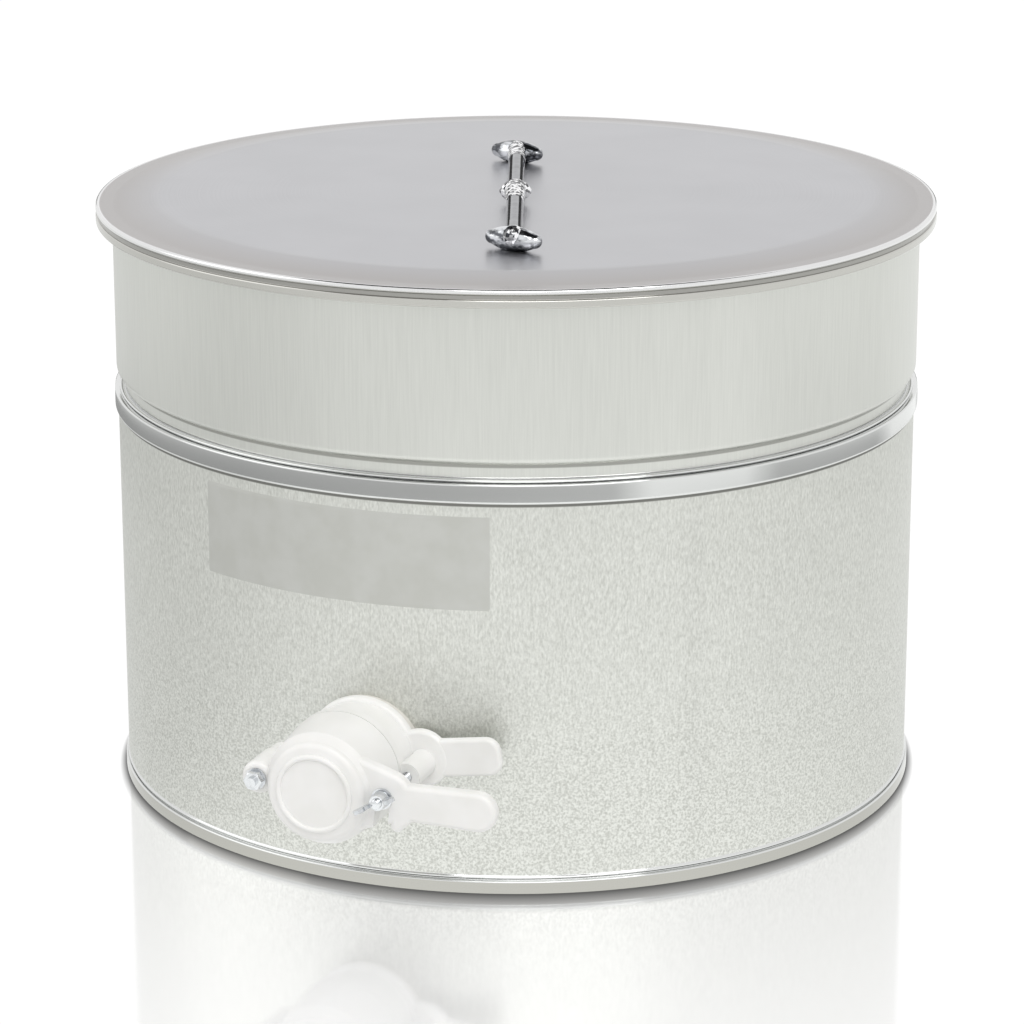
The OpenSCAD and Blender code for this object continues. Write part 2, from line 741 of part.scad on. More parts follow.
// Wing nut that clamps the gate shut, its wings spread in front of the gate's lip
module wing_nut() {
    wing_t = 2.2;
    wing_root = 2;
    tip_r = 3.5;
    tip_x = wing_span / 2 - tip_r;
    color("silver") at_valve() translate([stud_x, 0, wing_nut_z]) difference() {
        union() {
            cylinder(d1 = wing_hub_d, d2 = 0.86 * wing_hub_d, h = wing_hub_h);
            for (flip = [0, 180]) rotate([0, 0, wing_turn + flip]) rotate([90, 0, 0])
                linear_extrude(wing_t, center = true) {
                    translate([tip_x, wing_lift + tip_r]) circle(tip_r);
                    polygon([[0, wing_root], [wing_hub_d / 2, wing_root], [tip_x, wing_lift],
                             [tip_x, wing_lift + 2 * tip_r], [0.4 * wing_hub_d, wing_hub_h], [0, wing_hub_h]]);
                }
        }
        translate([0, 0, -past]) cylinder(r = turn_r, h = wing_lift + 2 * tip_r + 2 * past);
    }
}

tank_wall();
tank_bottom();
sieve_ring();
sieve_mesh();
sieve_hoop();
sieve_cross_bars();
lid_panel();
lid_handle();
lid_handle_screws();
lid_handle_washers();
valve_body();
valve_outer_gasket();
valve_inner_gasket();
valve_lock_nut();
gate();
gate_seal();
pivot_bolt();
pivot_washer();
pivot_nut();
clamp_stud();
clamp_washer();
wing_nut();
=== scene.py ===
"""Looks of a honey settling tank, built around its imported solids.

The gate's mouldings, gaskets, washers and screws keep their solids and get finishes. The spun
sheets of tank, sieve ring and lid, the wire cloth, the handle with its cut ornament, the threaded
stud, the nut and the blank sticker are surfaces worked out here on grids. Lengths are metres, in
the same frame as the solids, except for values whose names end in mm.
"""
import logging
import math
from dataclasses import dataclass
from enum import Enum
from typing import Any, Callable

import bpy
import numpy as np
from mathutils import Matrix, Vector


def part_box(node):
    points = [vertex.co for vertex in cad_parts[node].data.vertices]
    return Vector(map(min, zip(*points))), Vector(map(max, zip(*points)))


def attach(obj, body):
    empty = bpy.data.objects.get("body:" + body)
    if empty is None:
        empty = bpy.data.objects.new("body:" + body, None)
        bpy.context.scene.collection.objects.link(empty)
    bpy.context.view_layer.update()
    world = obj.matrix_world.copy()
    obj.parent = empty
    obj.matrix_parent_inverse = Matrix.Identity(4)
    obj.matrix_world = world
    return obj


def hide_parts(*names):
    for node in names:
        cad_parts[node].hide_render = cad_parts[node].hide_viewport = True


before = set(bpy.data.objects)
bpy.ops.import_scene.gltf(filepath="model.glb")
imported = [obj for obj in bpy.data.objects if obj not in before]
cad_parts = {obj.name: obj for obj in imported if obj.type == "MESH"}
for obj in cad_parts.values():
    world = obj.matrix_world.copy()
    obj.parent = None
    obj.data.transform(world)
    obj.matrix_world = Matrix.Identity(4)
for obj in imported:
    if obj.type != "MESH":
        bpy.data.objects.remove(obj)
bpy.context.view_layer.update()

LOG = logging.getLogger("honey_tank")
MM = 0.001
WHITE = (1.0, 1.0, 1.0, 1.0)

# Middle of a noise, and the values between which most of it lies
NOISE_MIDDLE = 0.5
NOISE_SPAN = (0.35, 0.65)
# Width over which one finish of a sheet turns into the next
SOFT_EDGE = 0.4 * MM
# Widths over which a shaded corner fades, below it and above it
FADE_BELOW = 0.6 * MM
FADE_ABOVE = 0.3 * MM
# Straight parts longer than the first value get points this far from their ends
GUARDED_LENGTH = 1.2 * MM
GUARD = 0.25 * MM
# A sheet's line that ends nearer to the axis than this is closed by a flat face
AXIS_REACH = 1.0 * MM
# Half angle in a corner, in radians, above which the corner counts as straight
STRAIGHT_HALF = 1.55


class Body(Enum):
    """Rigid bodies of the tank that new pieces ride on."""

    TANK = "tank"
    SIEVE = "sieve"
    LID = "lid"


class Shading(Enum):
    """How a piece's faces catch the light."""

    SMOOTH = True
    FACETED = False


def linear(hex_colour: str) -> tuple[float, float, float, float]:
    """Turns an sRGB hex value into linear RGBA.

    Args:
        hex_colour: Six hex digits, with or without a leading hash.

    Returns:
        Linear red, green, blue and an alpha of 1.
    """
    digits = hex_colour.lstrip("#")
    srgb = np.array([int(digits[i:i + 2], 16) for i in (0, 2, 4)]) / 255.0
    rgb = np.where(srgb <= 0.04045, srgb / 12.92, ((srgb + 0.055) / 1.055) ** 2.4)
    return (float(rgb[0]), float(rgb[1]), float(rgb[2]), 1.0)


def add(tree: bpy.types.NodeTree, kind: str, inputs: dict[Any, Any] | None = None,
        **settings: Any) -> bpy.types.Node:
    """Adds one node with its settings, input values and links.

    Args:
        tree: Node tree that takes the node.
        kind: Blender's type name of the node.
        inputs: Socket name or number to a plain value, or to an output socket to link.
        settings: Properties of the node, such as operation or data_type.

    Returns:
        The new node.
    """
    node = tree.nodes.new(kind)
    for key, value in settings.items():
        setattr(node, key, value)
    for socket, value in (inputs or {}).items():
        if isinstance(value, bpy.types.NodeSocket):
            tree.links.new(value, node.inputs[socket])
        else:
            node.inputs[socket].default_value = value
    return node


def calc(tree: bpy.types.NodeTree, operation: str, *values: Any, clamp: bool = False) -> bpy.types.NodeSocket:
    """Works out one sum of numbers or value sockets.

    Args:
        tree: Node tree that takes the node.
        operation: Blender's name of the sum, such as ADD.
        values: The numbers or sockets, in their order.
        clamp: True keeps the result between 0 and 1.

    Returns:
        Output socket of the result.
    """
    node = add(tree, "ShaderNodeMath", dict(enumerate(values)), operation=operation, use_clamp=clamp)
    return node.outputs[0]


def mix_shaders(tree: bpy.types.NodeTree, factor: Any, first: bpy.types.Node,
                second: bpy.types.Node) -> bpy.types.Node:
    """Mixes two shaders.

    Args:
        tree: Node tree that takes the node.
        factor: Socket or number, 0 for the first shader.
        first: First shader's node.
        second: Second shader's node.

    Returns:
        The mixing node.
    """
    return add(tree, "ShaderNodeMixShader", {0: factor, 1: first.outputs[0], 2: second.outputs[0]})


def empty_material(name: str) -> tuple[bpy.types.Material, bpy.types.NodeTree]:
    """Makes a material without nodes.

    Args:
        name: Name of the material.

    Returns:
        The material and its node tree.
    """
    material = bpy.data.materials.new(name)
    material.use_nodes = True
    material.node_tree.nodes.clear()
    return material, material.node_tree


def fresh_material(name: str) -> tuple[bpy.types.NodeTree, bpy.types.Node]:
    """Makes a material with one Principled shader.

    Args:
        name: Name of the material.

    Returns:
        Its node tree and the shader node.
    """
    tree = empty_material(name)[1]
    shader = add(tree, "ShaderNodeBsdfPrincipled")
    add(tree, "ShaderNodeOutputMaterial", {"Surface": shader.outputs["BSDF"]})
    return tree, shader


def object_place(tree: bpy.types.NodeTree) -> bpy.types.NodeSocket:
    """Place of the shaded point in the frame's axes, in metres."""
    return add(tree, "ShaderNodeTexCoord").outputs["Object"]


def object_noise(tree: bpy.types.NodeTree, size_mm: tuple[float, float, float], detail: float = 2.0,
                 rough: float = 0.55) -> bpy.types.NodeSocket:
    """Noise on Object coordinates whose blotches have the given size along x, y and z.

    Args:
        tree: Node tree that takes the nodes.
        size_mm: Size of one blotch along each axis, in millimetres.
        detail: Octaves of finer noise.
        rough: Strength of each octave against the one before.

    Returns:
        Output socket with values around one half.
    """
    scale = tuple(1.0 / (size * MM) for size in size_mm)
    mapped = add(tree, "ShaderNodeMapping", {"Vector": object_place(tree), "Scale": scale})
    noise = add(tree, "ShaderNodeTexNoise",
                {"Vector": mapped.outputs["Vector"], "Scale": 1.0, "Detail": detail, "Roughness": rough})
    return noise.outputs["Fac"]


def ramp_between(tree: bpy.types.NodeTree, value: bpy.types.NodeSocket, span: tuple[float, float],
                 to: tuple[float, float] = (0.0, 1.0)) -> bpy.types.NodeSocket:
    """Maps a value from one span to another and stops at the ends.

    Args:
        tree: Node tree that takes the node.
        value: Socket to map.
        span: Values that map to the ends.
        to: Values at the ends.

    Returns:
        Output socket of the mapped value.
    """
    node = add(tree, "ShaderNodeMapRange",
               {"Value": value, "From Min": span[0], "From Max": span[1], "To Min": to[0], "To Max": to[1]})
    return node.outputs["Result"]


def band(tree: bpy.types.NodeTree, value: bpy.types.NodeSocket,
         span: tuple[float, float, float, float]) -> bpy.types.NodeSocket:
    """1 between the two middle values of a span, falling in straight lines to 0 at its ends.

    Args:
        tree: Node tree that takes the nodes.
        value: Socket to judge.
        span: Where the band starts, is full, starts to fall and ends.

    Returns:
        Output socket of the band.
    """
    rising = ramp_between(tree, value, (span[0], span[1]))
    falling = ramp_between(tree, value, (span[3], span[2]))
    return calc(tree, "MULTIPLY", rising, falling)


def shade_line(tree: bpy.types.NodeTree, z: bpy.types.NodeSocket, low: float,
               high: float) -> bpy.types.NodeSocket:
    """1 between two heights, with soft ends: the shade in the corner under a rolled edge."""
    return band(tree, z, (low - FADE_BELOW, low, high, high + FADE_ABOVE))


def mix_colour(tree: bpy.types.NodeTree, factor: Any, first: Any, second: Any) -> bpy.types.NodeSocket:
    """Mixes two colours, each a hex value or a socket.

    Args:
        tree: Node tree that takes the node.
        factor: Socket or number, 0 for the first colour.
        first: First colour.
        second: Second colour.

    Returns:
        Output socket of the mixed colour.
    """
    ends = [linear(c) if isinstance(c, str) else c for c in (first, second)]
    node = add(tree, "ShaderNodeMix", {0: factor, 6: ends[0], 7: ends[1]}, data_type="RGBA")
    return node.outputs[2]


def mix_value(tree: bpy.types.NodeTree, factor: Any, first: Any, second: Any) -> bpy.types.NodeSocket:
    """Mixes two numbers or value sockets by a factor and returns the output socket."""
    node = add(tree, "ShaderNodeMix", {0: factor, 2: first, 3: second}, data_type="FLOAT")
    return node.outputs[0]


def height(tree: bpy.types.NodeTree) -> bpy.types.NodeSocket:
    """Height of the shaded point above the floor, in metres."""
    return add(tree, "ShaderNodeSeparateXYZ", {0: object_place(tree)}).outputs["Z"]


def axis_distance(tree: bpy.types.NodeTree) -> bpy.types.NodeSocket:
    """Distance of the shaded point from the tank's axis: the length of its place laid flat.

    Args:
        tree: Node tree that takes the nodes.

    Returns:
        Output socket of the distance, in metres.
    """
    kind, level = "ShaderNodeVectorMath", (1.0, 1.0, 0.0)
    flat = add(tree, kind, {0: object_place(tree), 1: level}, operation="MULTIPLY")
    return add(tree, kind, {0: flat.outputs["Vector"]}, operation="LENGTH").outputs["Value"]


def bump(tree: bpy.types.NodeTree, shader: bpy.types.Node, value: bpy.types.NodeSocket,
         depth_mm: float) -> None:
    """Raises the shaded surface by a pattern of the given depth in millimetres."""
    node = add(tree, "ShaderNodeBump", {"Height": value, "Distance": depth_mm * MM, "Strength": 1.0})
    tree.links.new(node.outputs["Normal"], shader.inputs["Normal"])


def make_metal(tree: bpy.types.NodeTree, shader: bpy.types.Node, colour: bpy.types.NodeSocket,
               roughness: bpy.types.NodeSocket) -> None:
    """Makes a shader a metal.

    Args:
        tree: Node tree of the shader.
        shader: The Principled shader.
        colour: Socket of its colour.
        roughness: Socket of its roughness.
    """
    tree.links.new(colour, shader.inputs["Base Color"])
    tree.links.new(roughness, shader.inputs["Roughness"])
    shader.inputs["Metallic"].default_value = 1.0


@dataclass(frozen=True)
class SpeckledSteel:
    """Cold-rolled stainless sheet with a matt rolled skin: short upright grain, speckled near the foot, and a
    shade painted under the rim.

    The grain of the real sheet is finer than a pixel of the photograph, so it is drawn about 1.2 mm wide.
    """

    name: str = "stainless_speckled_sheet"
    dark: str = "#BFC0BA"
    light: str = "#E3E4DF"
    polished: str = "#DADBDA"
    seam: str = "#B4B3AD"
    # Colour of the shade painted under the rim
    shaded: str = "#7E7E7A"
    grain_mm: tuple[float, float, float] = (1.2, 1.2, 3.2)
    grain_depth_mm: float = 0.03
    speckle_mm: tuple[float, float, float] = (1.5, 1.5, 1.5)
    speckle_detail: float = 4.0
    speckle_rough: float = 0.75
    speckle_z: tuple[float, float] = (0.20, 0.05)
    spread_z: tuple[float, float] = (0.24, 0.09)
    spread: tuple[float, float] = (0.66, 0.18)
    cloud_mm: tuple[float, float, float] = (70.0, 70.0, 55.0)
    cloud_share: float = 0.12
    middle_tone: float = 0.50
    seam_face: tuple[float, float] = (3.6 * MM, 4.0 * MM)
    rim_shade: tuple[float, float] = (1.5 * MM, 0.2 * MM)
    roughness: float = 0.44
    polished_roughness: float = 0.10

    def build(self, rim_z: float, seam_z: float) -> bpy.types.Material:
        """Makes the sheet's material.

        Args:
            rim_z: Height at which the polished rim starts.
            seam_z: Height below which the polished seam lies.

        Returns:
            The material.
        """
        tree, shader = fresh_material(self.name)
        z = height(tree)
        grain = object_noise(tree, self.grain_mm)
        speckle = object_noise(tree, self.speckle_mm, self.speckle_detail, self.speckle_rough)
        pattern = mix_value(tree, ramp_between(tree, z, self.speckle_z), grain, speckle)
        centred = calc(tree, "SUBTRACT", pattern, NOISE_MIDDLE)
        scaled = calc(tree, "DIVIDE", centred, ramp_between(tree, z, self.spread_z, self.spread))
        cloud = object_noise(tree, self.cloud_mm, detail=1.0)
        soft = calc(tree, "MULTIPLY_ADD", cloud, self.cloud_share, self.middle_tone)
        sheet = mix_colour(tree, calc(tree, "ADD", scaled, soft, clamp=True), self.dark, self.light)
        on_rim = ramp_between(tree, z, (rim_z - SOFT_EDGE, rim_z))
        at_foot = ramp_between(tree, z, (seam_z + SOFT_EDGE, seam_z))
        bright = calc(tree, "MAXIMUM", on_rim, at_foot)
        on_seam = ramp_between(tree, z, (seam_z - self.seam_face[0], seam_z - self.seam_face[1]))
        rolled = mix_colour(tree, on_seam, self.polished, self.seam)
        # Painted shade: a dark band on the wall just under the polished rim.
        shade = shade_line(tree, z, rim_z - self.rim_shade[0], rim_z - self.rim_shade[1])
        metal = mix_colour(tree, shade, mix_colour(tree, bright, sheet, rolled), self.shaded)
        make_metal(tree, shader, metal, mix_value(tree, bright, self.roughness, self.polished_roughness))
        bump(tree, shader, mix_value(tree, bright, pattern, NOISE_MIDDLE), self.grain_depth_mm)
        return bpy.data.materials[self.name]


@dataclass(frozen=True)
class BrushedSteel:
    """Stainless sheet with faint upright brushing and polished rolled edges, with shade painted under the
    roll and under the shoulder.
    """

    name: str = "stainless_brushed_ring"
    dark: str = "#D1D2CD"
    light: str = "#DADBD6"
    polished: str = "#DADBDA"
    roll: str = "#C4C4BE"
    # Colour of the shade painted under the roll
    shaded: str = "#74746F"
    # Colour of the shade painted on the neck under the shoulder
    shoulder: str = "#A3A39E"
    line_mm: tuple[float, float, float] = (1.0, 1.0, 34.0)
    line_detail: float = 3.0
    line_depth_mm: float = 0.012
    cloud_mm: tuple[float, float, float] = (120.0, 120.0, 300.0)
    cloud_share: float = 0.45
    roll_shade: tuple[float, float] = (1.8 * MM, 0.3 * MM)
    shoulder_shade: tuple[float, float] = (1.9 * MM, 0.2 * MM)
    roughness: float = 0.36
    polished_roughness: float = 0.10

    def build(self, low_z: float, shoulder_z: float, high_z: float) -> bpy.types.Material:
        """Makes the brushed material.

        Args:
            low_z: Height below which the metal is polished.
            shoulder_z: Height of the shoulder, under which a shade is painted on the neck.
            high_z: Height above which the metal is polished.

        Returns:
            The material.
        """
        tree, shader = fresh_material(self.name)
        lines = object_noise(tree, self.line_mm, self.line_detail)
        cloud = object_noise(tree, self.cloud_mm, detail=1.0)
        tone = ramp_between(tree, mix_value(tree, self.cloud_share, lines, cloud), NOISE_SPAN)
        sheet = mix_colour(tree, tone, self.dark, self.light)
        z = height(tree)
        below = ramp_between(tree, z, (low_z + SOFT_EDGE, low_z))
        above = ramp_between(tree, z, (high_z - SOFT_EDGE, high_z))
        bright = calc(tree, "MAXIMUM", below, above)
        rolled = mix_colour(tree, above, self.polished, self.roll)
        # Painted shade: a dark band on the wall just under the rolled rim.
        shade = shade_line(tree, z, high_z - self.roll_shade[0], high_z - self.roll_shade[1])
        metal = mix_colour(tree, shade, mix_colour(tree, bright, sheet, rolled), self.shaded)
        # Painted shade: a darker band on the neck just under the shoulder.
        shoulder_painted_shade = shade_line(tree, z, shoulder_z - self.shoulder_shade[0], shoulder_z + self.shoulder_shade[1])
        metal = mix_colour(tree, shoulder_painted_shade, metal, self.shoulder)
        make_metal(tree, shader, metal, mix_value(tree, bright, self.roughness, self.polished_roughness))
        bump(tree, shader, lines, self.line_depth_mm)
        return bpy.data.materials[self.name]


@dataclass(frozen=True)
class SpunSteel:
    """Spun lid sheet: an even lilac-grey face, a sloping border painted darker for its dimmer reflection, a
    bright beaded edge and a groove painted dark for its shade.
    """

    name: str = "stainless_spun_lid"
    face: str = "#C0C0C3"
    face_dark: str = "#BABABD"
    # Colour of the border, darker: a painted reflection of the sloping band
    border: str = "#B5B2B1"
    edge: str = "#E4E4E4"
    # Colour of the shade painted in the groove under the bead
    groove: str = "#A09F9B"
    hem: str = "#C4C3BE"
    spin_line_mm: float = 0.8
    spin_depth_mm: float = 0.004
    cloud_mm: tuple[float, float, float] = (60.0, 60.0, 60.0)
    cloud_share: float = 0.5
    # Reach of the painted border reflection inside and outside the flat's edge
    border_in: float = 6.0 * MM
    border_out: float = 22.0 * MM
    edge_blur: float = 0.5 * MM
    groove_blur: float = 0.3 * MM
    roughness: float = 0.34
    edge_roughness: float = 0.15

    def build(self, flat_r: float, edge_r: float, groove_z: float, hem_z: float) -> bpy.types.Material:
        """Makes the lid's material.

        Args:
            flat_r: Radius of the lid's flat middle.
            edge_r: Radius at which the bright edge starts.
            groove_z: Height of the groove's top, under the bead, below which the groove's shade is painted.
            hem_z: Height of the hem's top, under the groove.

        Returns:
            The material.
        """
        tree, shader = fresh_material(self.name)
        radius = axis_distance(tree)
        turns = calc(tree, "MULTIPLY", radius, 1.0 / (self.spin_line_mm * MM))
        rings = add(tree, "ShaderNodeTexNoise", {"W": turns, "Scale": 1.0, "Detail": 2.0},
                    noise_dimensions="1D").outputs["Fac"]
        tone = mix_value(tree, self.cloud_share, rings, object_noise(tree, self.cloud_mm))
        face = mix_colour(tree, ramp_between(tree, tone, NOISE_SPAN), self.face_dark, self.face)
        # Painted reflection: the sloping border is coloured darker than the flat face.
        painted_border_reflection = ramp_between(tree, radius, (flat_r - self.border_in, flat_r + self.border_out))
        border = mix_colour(tree, painted_border_reflection, face, self.border)
        z = height(tree)
        # Painted shade: from groove_z down to the hem the edge is coloured dark, for the shade under the
        # bead.
        in_groove = ramp_between(tree, z, (groove_z + self.groove_blur, groove_z))
        on_hem = ramp_between(tree, z, (hem_z + self.groove_blur, hem_z))
        edge = mix_colour(tree, on_hem, mix_colour(tree, in_groove, self.edge, self.groove), self.hem)
        at_edge = ramp_between(tree, radius, (edge_r - self.edge_blur, edge_r))
        metal = mix_colour(tree, at_edge, border, edge)
        make_metal(tree, shader, metal, mix_value(tree, at_edge, self.roughness, self.edge_roughness))
        bump(tree, shader, rings, self.spin_depth_mm)
        return bpy.data.materials[self.name]


@dataclass(frozen=True)
class PlatedMetal:
    """Bright electroplate: mirror chrome on the handle, duller zinc on the fasteners. Its clouds of tone are
    stains on the zinc and painted reflections on the chrome.
    """

    name: str
    colour: str
    stain_and_reflection: str
    roughness: float
    stain_mm: tuple[float, float, float] = (9.0, 9.0, 9.0)
    stain_detail: float = 3.0
    stain_span: tuple[float, float] = (0.40, 0.68)
    gloss_span: tuple[float, float] = (0.3, 0.7)
    gloss_change: tuple[float, float] = (0.8, 1.3)
    pit_mm: tuple[float, float, float] = (1.2, 1.2, 1.2)
    pit_depth_mm: float = 0.004

    def build(self) -> bpy.types.Material:
        """Makes the plated material with clouds of tone: faint stains on the zinc, painted reflections on the
        chrome.

        Returns:
            The material.
        """
        tree, shader = fresh_material(self.name)
        cloud = object_noise(tree, self.stain_mm, self.stain_detail)
        colour = mix_colour(tree, ramp_between(tree, cloud, self.stain_span), self.colour, self.stain_and_reflection)
        ends = (self.gloss_change[0] * self.roughness, self.gloss_change[1] * self.roughness)
        make_metal(tree, shader, colour, ramp_between(tree, cloud, self.gloss_span, ends))
        bump(tree, shader, object_noise(tree, self.pit_mm), self.pit_depth_mm)
        return bpy.data.materials[self.name]


@dataclass(frozen=True)
class CutChrome:
    """Chromed ornament cut in small facets, each given a random tone between dark and light: painted
    reflections of other parts of the room.
    """

    name: str = "chromed_cut_facets"
    # Ends of the painted reflection tones
    dark: str = "#34363A"
    light: str = "#F8F8F9"
    facet_mm: float = 2.0
    tone_span: tuple[float, float] = (0.20, 0.62)
    roughness: float = 0.08

    def build(self) -> bpy.types.Material:
        """Makes the material with one painted reflection tone for each cell of a random pattern.

        Returns:
            The material.
        """
        tree, shader = fresh_material(self.name)
        cells = add(tree, "ShaderNodeTexVoronoi",
                    {"Vector": object_place(tree), "Scale": 1.0 / (self.facet_mm * MM)})
        chance = add(tree, "ShaderNodeSeparateColor", {0: cells.outputs["Color"]}).outputs[0]
        # Painted reflections: each cell's tone lies between dark and light.
        tone = ramp_between(tree, chance, self.tone_span)
        tree.links.new(mix_colour(tree, tone, self.dark, self.light), shader.inputs["Base Color"])
        shader.inputs["Metallic"].default_value = 1.0
        shader.inputs["Roughness"].default_value = self.roughness
        return bpy.data.materials[self.name]


@dataclass(frozen=True)
class MouldedPlastic:
    """White moulded polyethylene: soft gloss, faint flow marks and a very fine eroded skin."""

    name: str = "white_moulded_plastic"
    colour: str = "#F0F0EF"
    flow: str = "#EBEBE9"
    flow_mm: tuple[float, float, float] = (22.0, 44.0, 22.0)
    gloss_span: tuple[float, float] = (0.3, 0.7)
    roughness: tuple[float, float] = (0.30, 0.40)
    skin_mm: tuple[float, float, float] = (0.9, 0.9, 0.9)
    skin_depth_mm: float = 0.01
    refraction: float = 1.51
    milkiness: float = 0.06
    milk_reach: tuple[float, float, float] = (0.004, 0.0036, 0.003)
    milk_scale: float = 0.5

    def build(self) -> bpy.types.Material:
        """Makes the plastic.

        Returns:
            The material.
        """
        tree, shader = fresh_material(self.name)
        flow = object_noise(tree, self.flow_mm)
        tone = ramp_between(tree, flow, NOISE_SPAN)
        tree.links.new(mix_colour(tree, tone, self.colour, self.flow), shader.inputs["Base Color"])
        rough = ramp_between(tree, flow, self.gloss_span, self.roughness)
        tree.links.new(rough, shader.inputs["Roughness"])
        shader.inputs["IOR"].default_value = self.refraction
        shader.inputs["Subsurface Weight"].default_value = self.milkiness
        shader.inputs["Subsurface Radius"].default_value = self.milk_reach
        shader.inputs["Subsurface Scale"].default_value = self.milk_scale
        bump(tree, shader, object_noise(tree, self.skin_mm), self.skin_depth_mm)
        return bpy.data.materials[self.name]


@dataclass(frozen=True)
class SoftRubber:
    """Milky silicone rubber with a dusty matt skin."""

    name: str = "white_silicone_rubber"
    colour: str = "#DEDCD7"
    dust: str = "#D3D1CB"
    dust_mm: tuple[float, float, float] = (4.0, 4.0, 4.0)
    dust_detail: float = 4.0
    dust_span: tuple[float, float] = (0.4, 0.7)
    dust_depth_mm: float = 0.03
    roughness: float = 0.7

    def build(self) -> bpy.types.Material:
        """Makes the rubber.

        Returns:
            The material.
        """
        tree, shader = fresh_material(self.name)
        dust = object_noise(tree, self.dust_mm, self.dust_detail)
        tone = ramp_between(tree, dust, self.dust_span)
        tree.links.new(mix_colour(tree, tone, self.colour, self.dust), shader.inputs["Base Color"])
        shader.inputs["Roughness"].default_value = self.roughness
        bump(tree, shader, dust, self.dust_depth_mm)
        return bpy.data.materials[self.name]


@dataclass(frozen=True)
class BlankSticker:
    """Blank vinyl sticker, half clear grey over the steel."""

    name: str = "blank_grey_vinyl"
    colour: str = "#C4C5C1"
    shade: str = "#BFC0BB"
    cloud_mm: tuple[float, float, float] = (16.0, 16.0, 16.0)
    wave_depth_mm: float = 0.05
    roughness: float = 0.42
    metal_share: float = 0.55

    def build(self) -> bpy.types.Material:
        """Makes the vinyl.

        Returns:
            The material.
        """
        tree, shader = fresh_material(self.name)
        cloud = object_noise(tree, self.cloud_mm)
        tone = ramp_between(tree, cloud, NOISE_SPAN)
        tree.links.new(mix_colour(tree, tone, self.colour, self.shade), shader.inputs["Base Color"])
        shader.inputs["Roughness"].default_value = self.roughness
        shader.inputs["Metallic"].default_value = self.metal_share
        bump(tree, shader, cloud, self.wave_depth_mm)
        return bpy.data.materials[self.name]


def full_turn(columns: int) -> np.ndarray:
    """Evenly spaced angles of one whole turn, in radians."""
    return np.arange(columns) / columns * 2 * math.pi


def as_points(x: np.ndarray, y: np.ndarray, z: np.ndarray) -> np.ndarray:
    """Grid of points from three arrays that are stretched to one shape."""
    return np.stack(np.broadcast_arrays(x, y, z), axis=-1)


def grid_faces(rows: int, columns: int, closed_columns: bool) -> np.ndarray:
    """Quads of a grid of points, row after row.

    Args:
        rows: Number of rows.
        columns: Number of points in a row.
        closed_columns: True joins the last point of each row to its first.

    Returns:
        Whole-number array with four corners a face.
    """
    i = np.arange(rows - 1)
    j = np.arange(columns if closed_columns else columns - 1)
    i0, j0 = np.meshgrid(i, j, indexing="ij")
    i1, j1 = i0 + 1, (j0 + 1) % columns
    corners = [i0 * columns + j0, i0 * columns + j1, i1 * columns + j1, i1 * columns + j0]
    return np.stack(corners, axis=-1).reshape(-1, 4)


def first_cap(columns: int) -> list[int]:
    """Flat face over the first ring of a grid."""
    return list(range(columns - 1, -1, -1))


def last_cap(rows: int, columns: int) -> list[int]:
    """Flat face over the last ring of a grid."""
    return list(range((rows - 1) * columns, rows * columns))


def make_piece(name: str, points: np.ndarray, faces: list[Any],
               shading: Shading = Shading.SMOOTH) -> bpy.types.Object:
    """Makes a mesh object at the origin from points and faces.

    Args:
        name: Name of the piece.
        points: Array of points, in metres.
        faces: Lists of corner numbers.
        shading: Smooth or faceted.

    Returns:
        The linked object.
    """
    mesh = bpy.data.meshes.new(name)
    mesh.from_pydata(points.reshape(-1, 3).tolist(), [], faces)
    mesh.polygons.foreach_set("use_smooth", np.full(len(mesh.polygons), shading.value))
    mesh.update()
    piece = bpy.data.objects.new(name, mesh)
    bpy.context.scene.collection.objects.link(piece)
    return piece


def skin(name: str, points: np.ndarray, shading: Shading = Shading.SMOOTH) -> bpy.types.Object:
    """Makes a closed piece from a grid whose rows are rings of points, with a flat face at both ends.

    Args:
        name: Name of the piece.
        points: Array of rings, each an array of points.
        shading: Smooth or faceted.

    Returns:
        The linked object.
    """
    rows, columns = points.shape[:2]
    faces = grid_faces(rows, columns, True).tolist()
    faces.append(first_cap(columns))
    faces.append(last_cap(rows, columns))
    return make_piece(name, points, faces, shading)


def rounded_path(corners: list[tuple[float, float, float]], arc_steps: int = 8) -> np.ndarray:
    """Line through corners, each rounded by an arc that touches both of its sides.

    Args:
        corners: Radius and height of each corner and the radius of its arc, in millimetres.
        arc_steps: Points on each arc.

    Returns:
        Points of the line, as radius and height in metres.
    """
    points = np.array([corner[:2] for corner in corners])
    fillets = [corner[2] for corner in corners]
    path = [points[:1]]
    for before, corner, after, fillet in zip(points[:-2], points[1:-1], points[2:], fillets[1:-1]):
        back, ahead = before - corner, after - corner
        back, ahead = back / np.linalg.norm(back), ahead / np.linalg.norm(ahead)
        half = 0.5 * math.acos(float(np.clip(back @ ahead, -1.0, 1.0)))
        if fillet <= 0.0 or half > STRAIGHT_HALF:
            path.append(corner[None, :])
            continue
        reach = fillet / math.tan(half)
        middle = corner + (back + ahead) / np.linalg.norm(back + ahead) * fillet / math.sin(half)
        first, last = corner + back * reach - middle, corner + ahead * reach - middle
        sweep = math.acos(float(np.clip(first @ last / fillet ** 2, -1.0, 1.0)))
        t = np.linspace(0.0, 1.0, arc_steps)[:, None]
        path.append(middle + (np.sin((1 - t) * sweep) * first + np.sin(t * sweep) * last) / math.sin(sweep))
    path.append(points[-1:])
    return np.concatenate(path) * MM


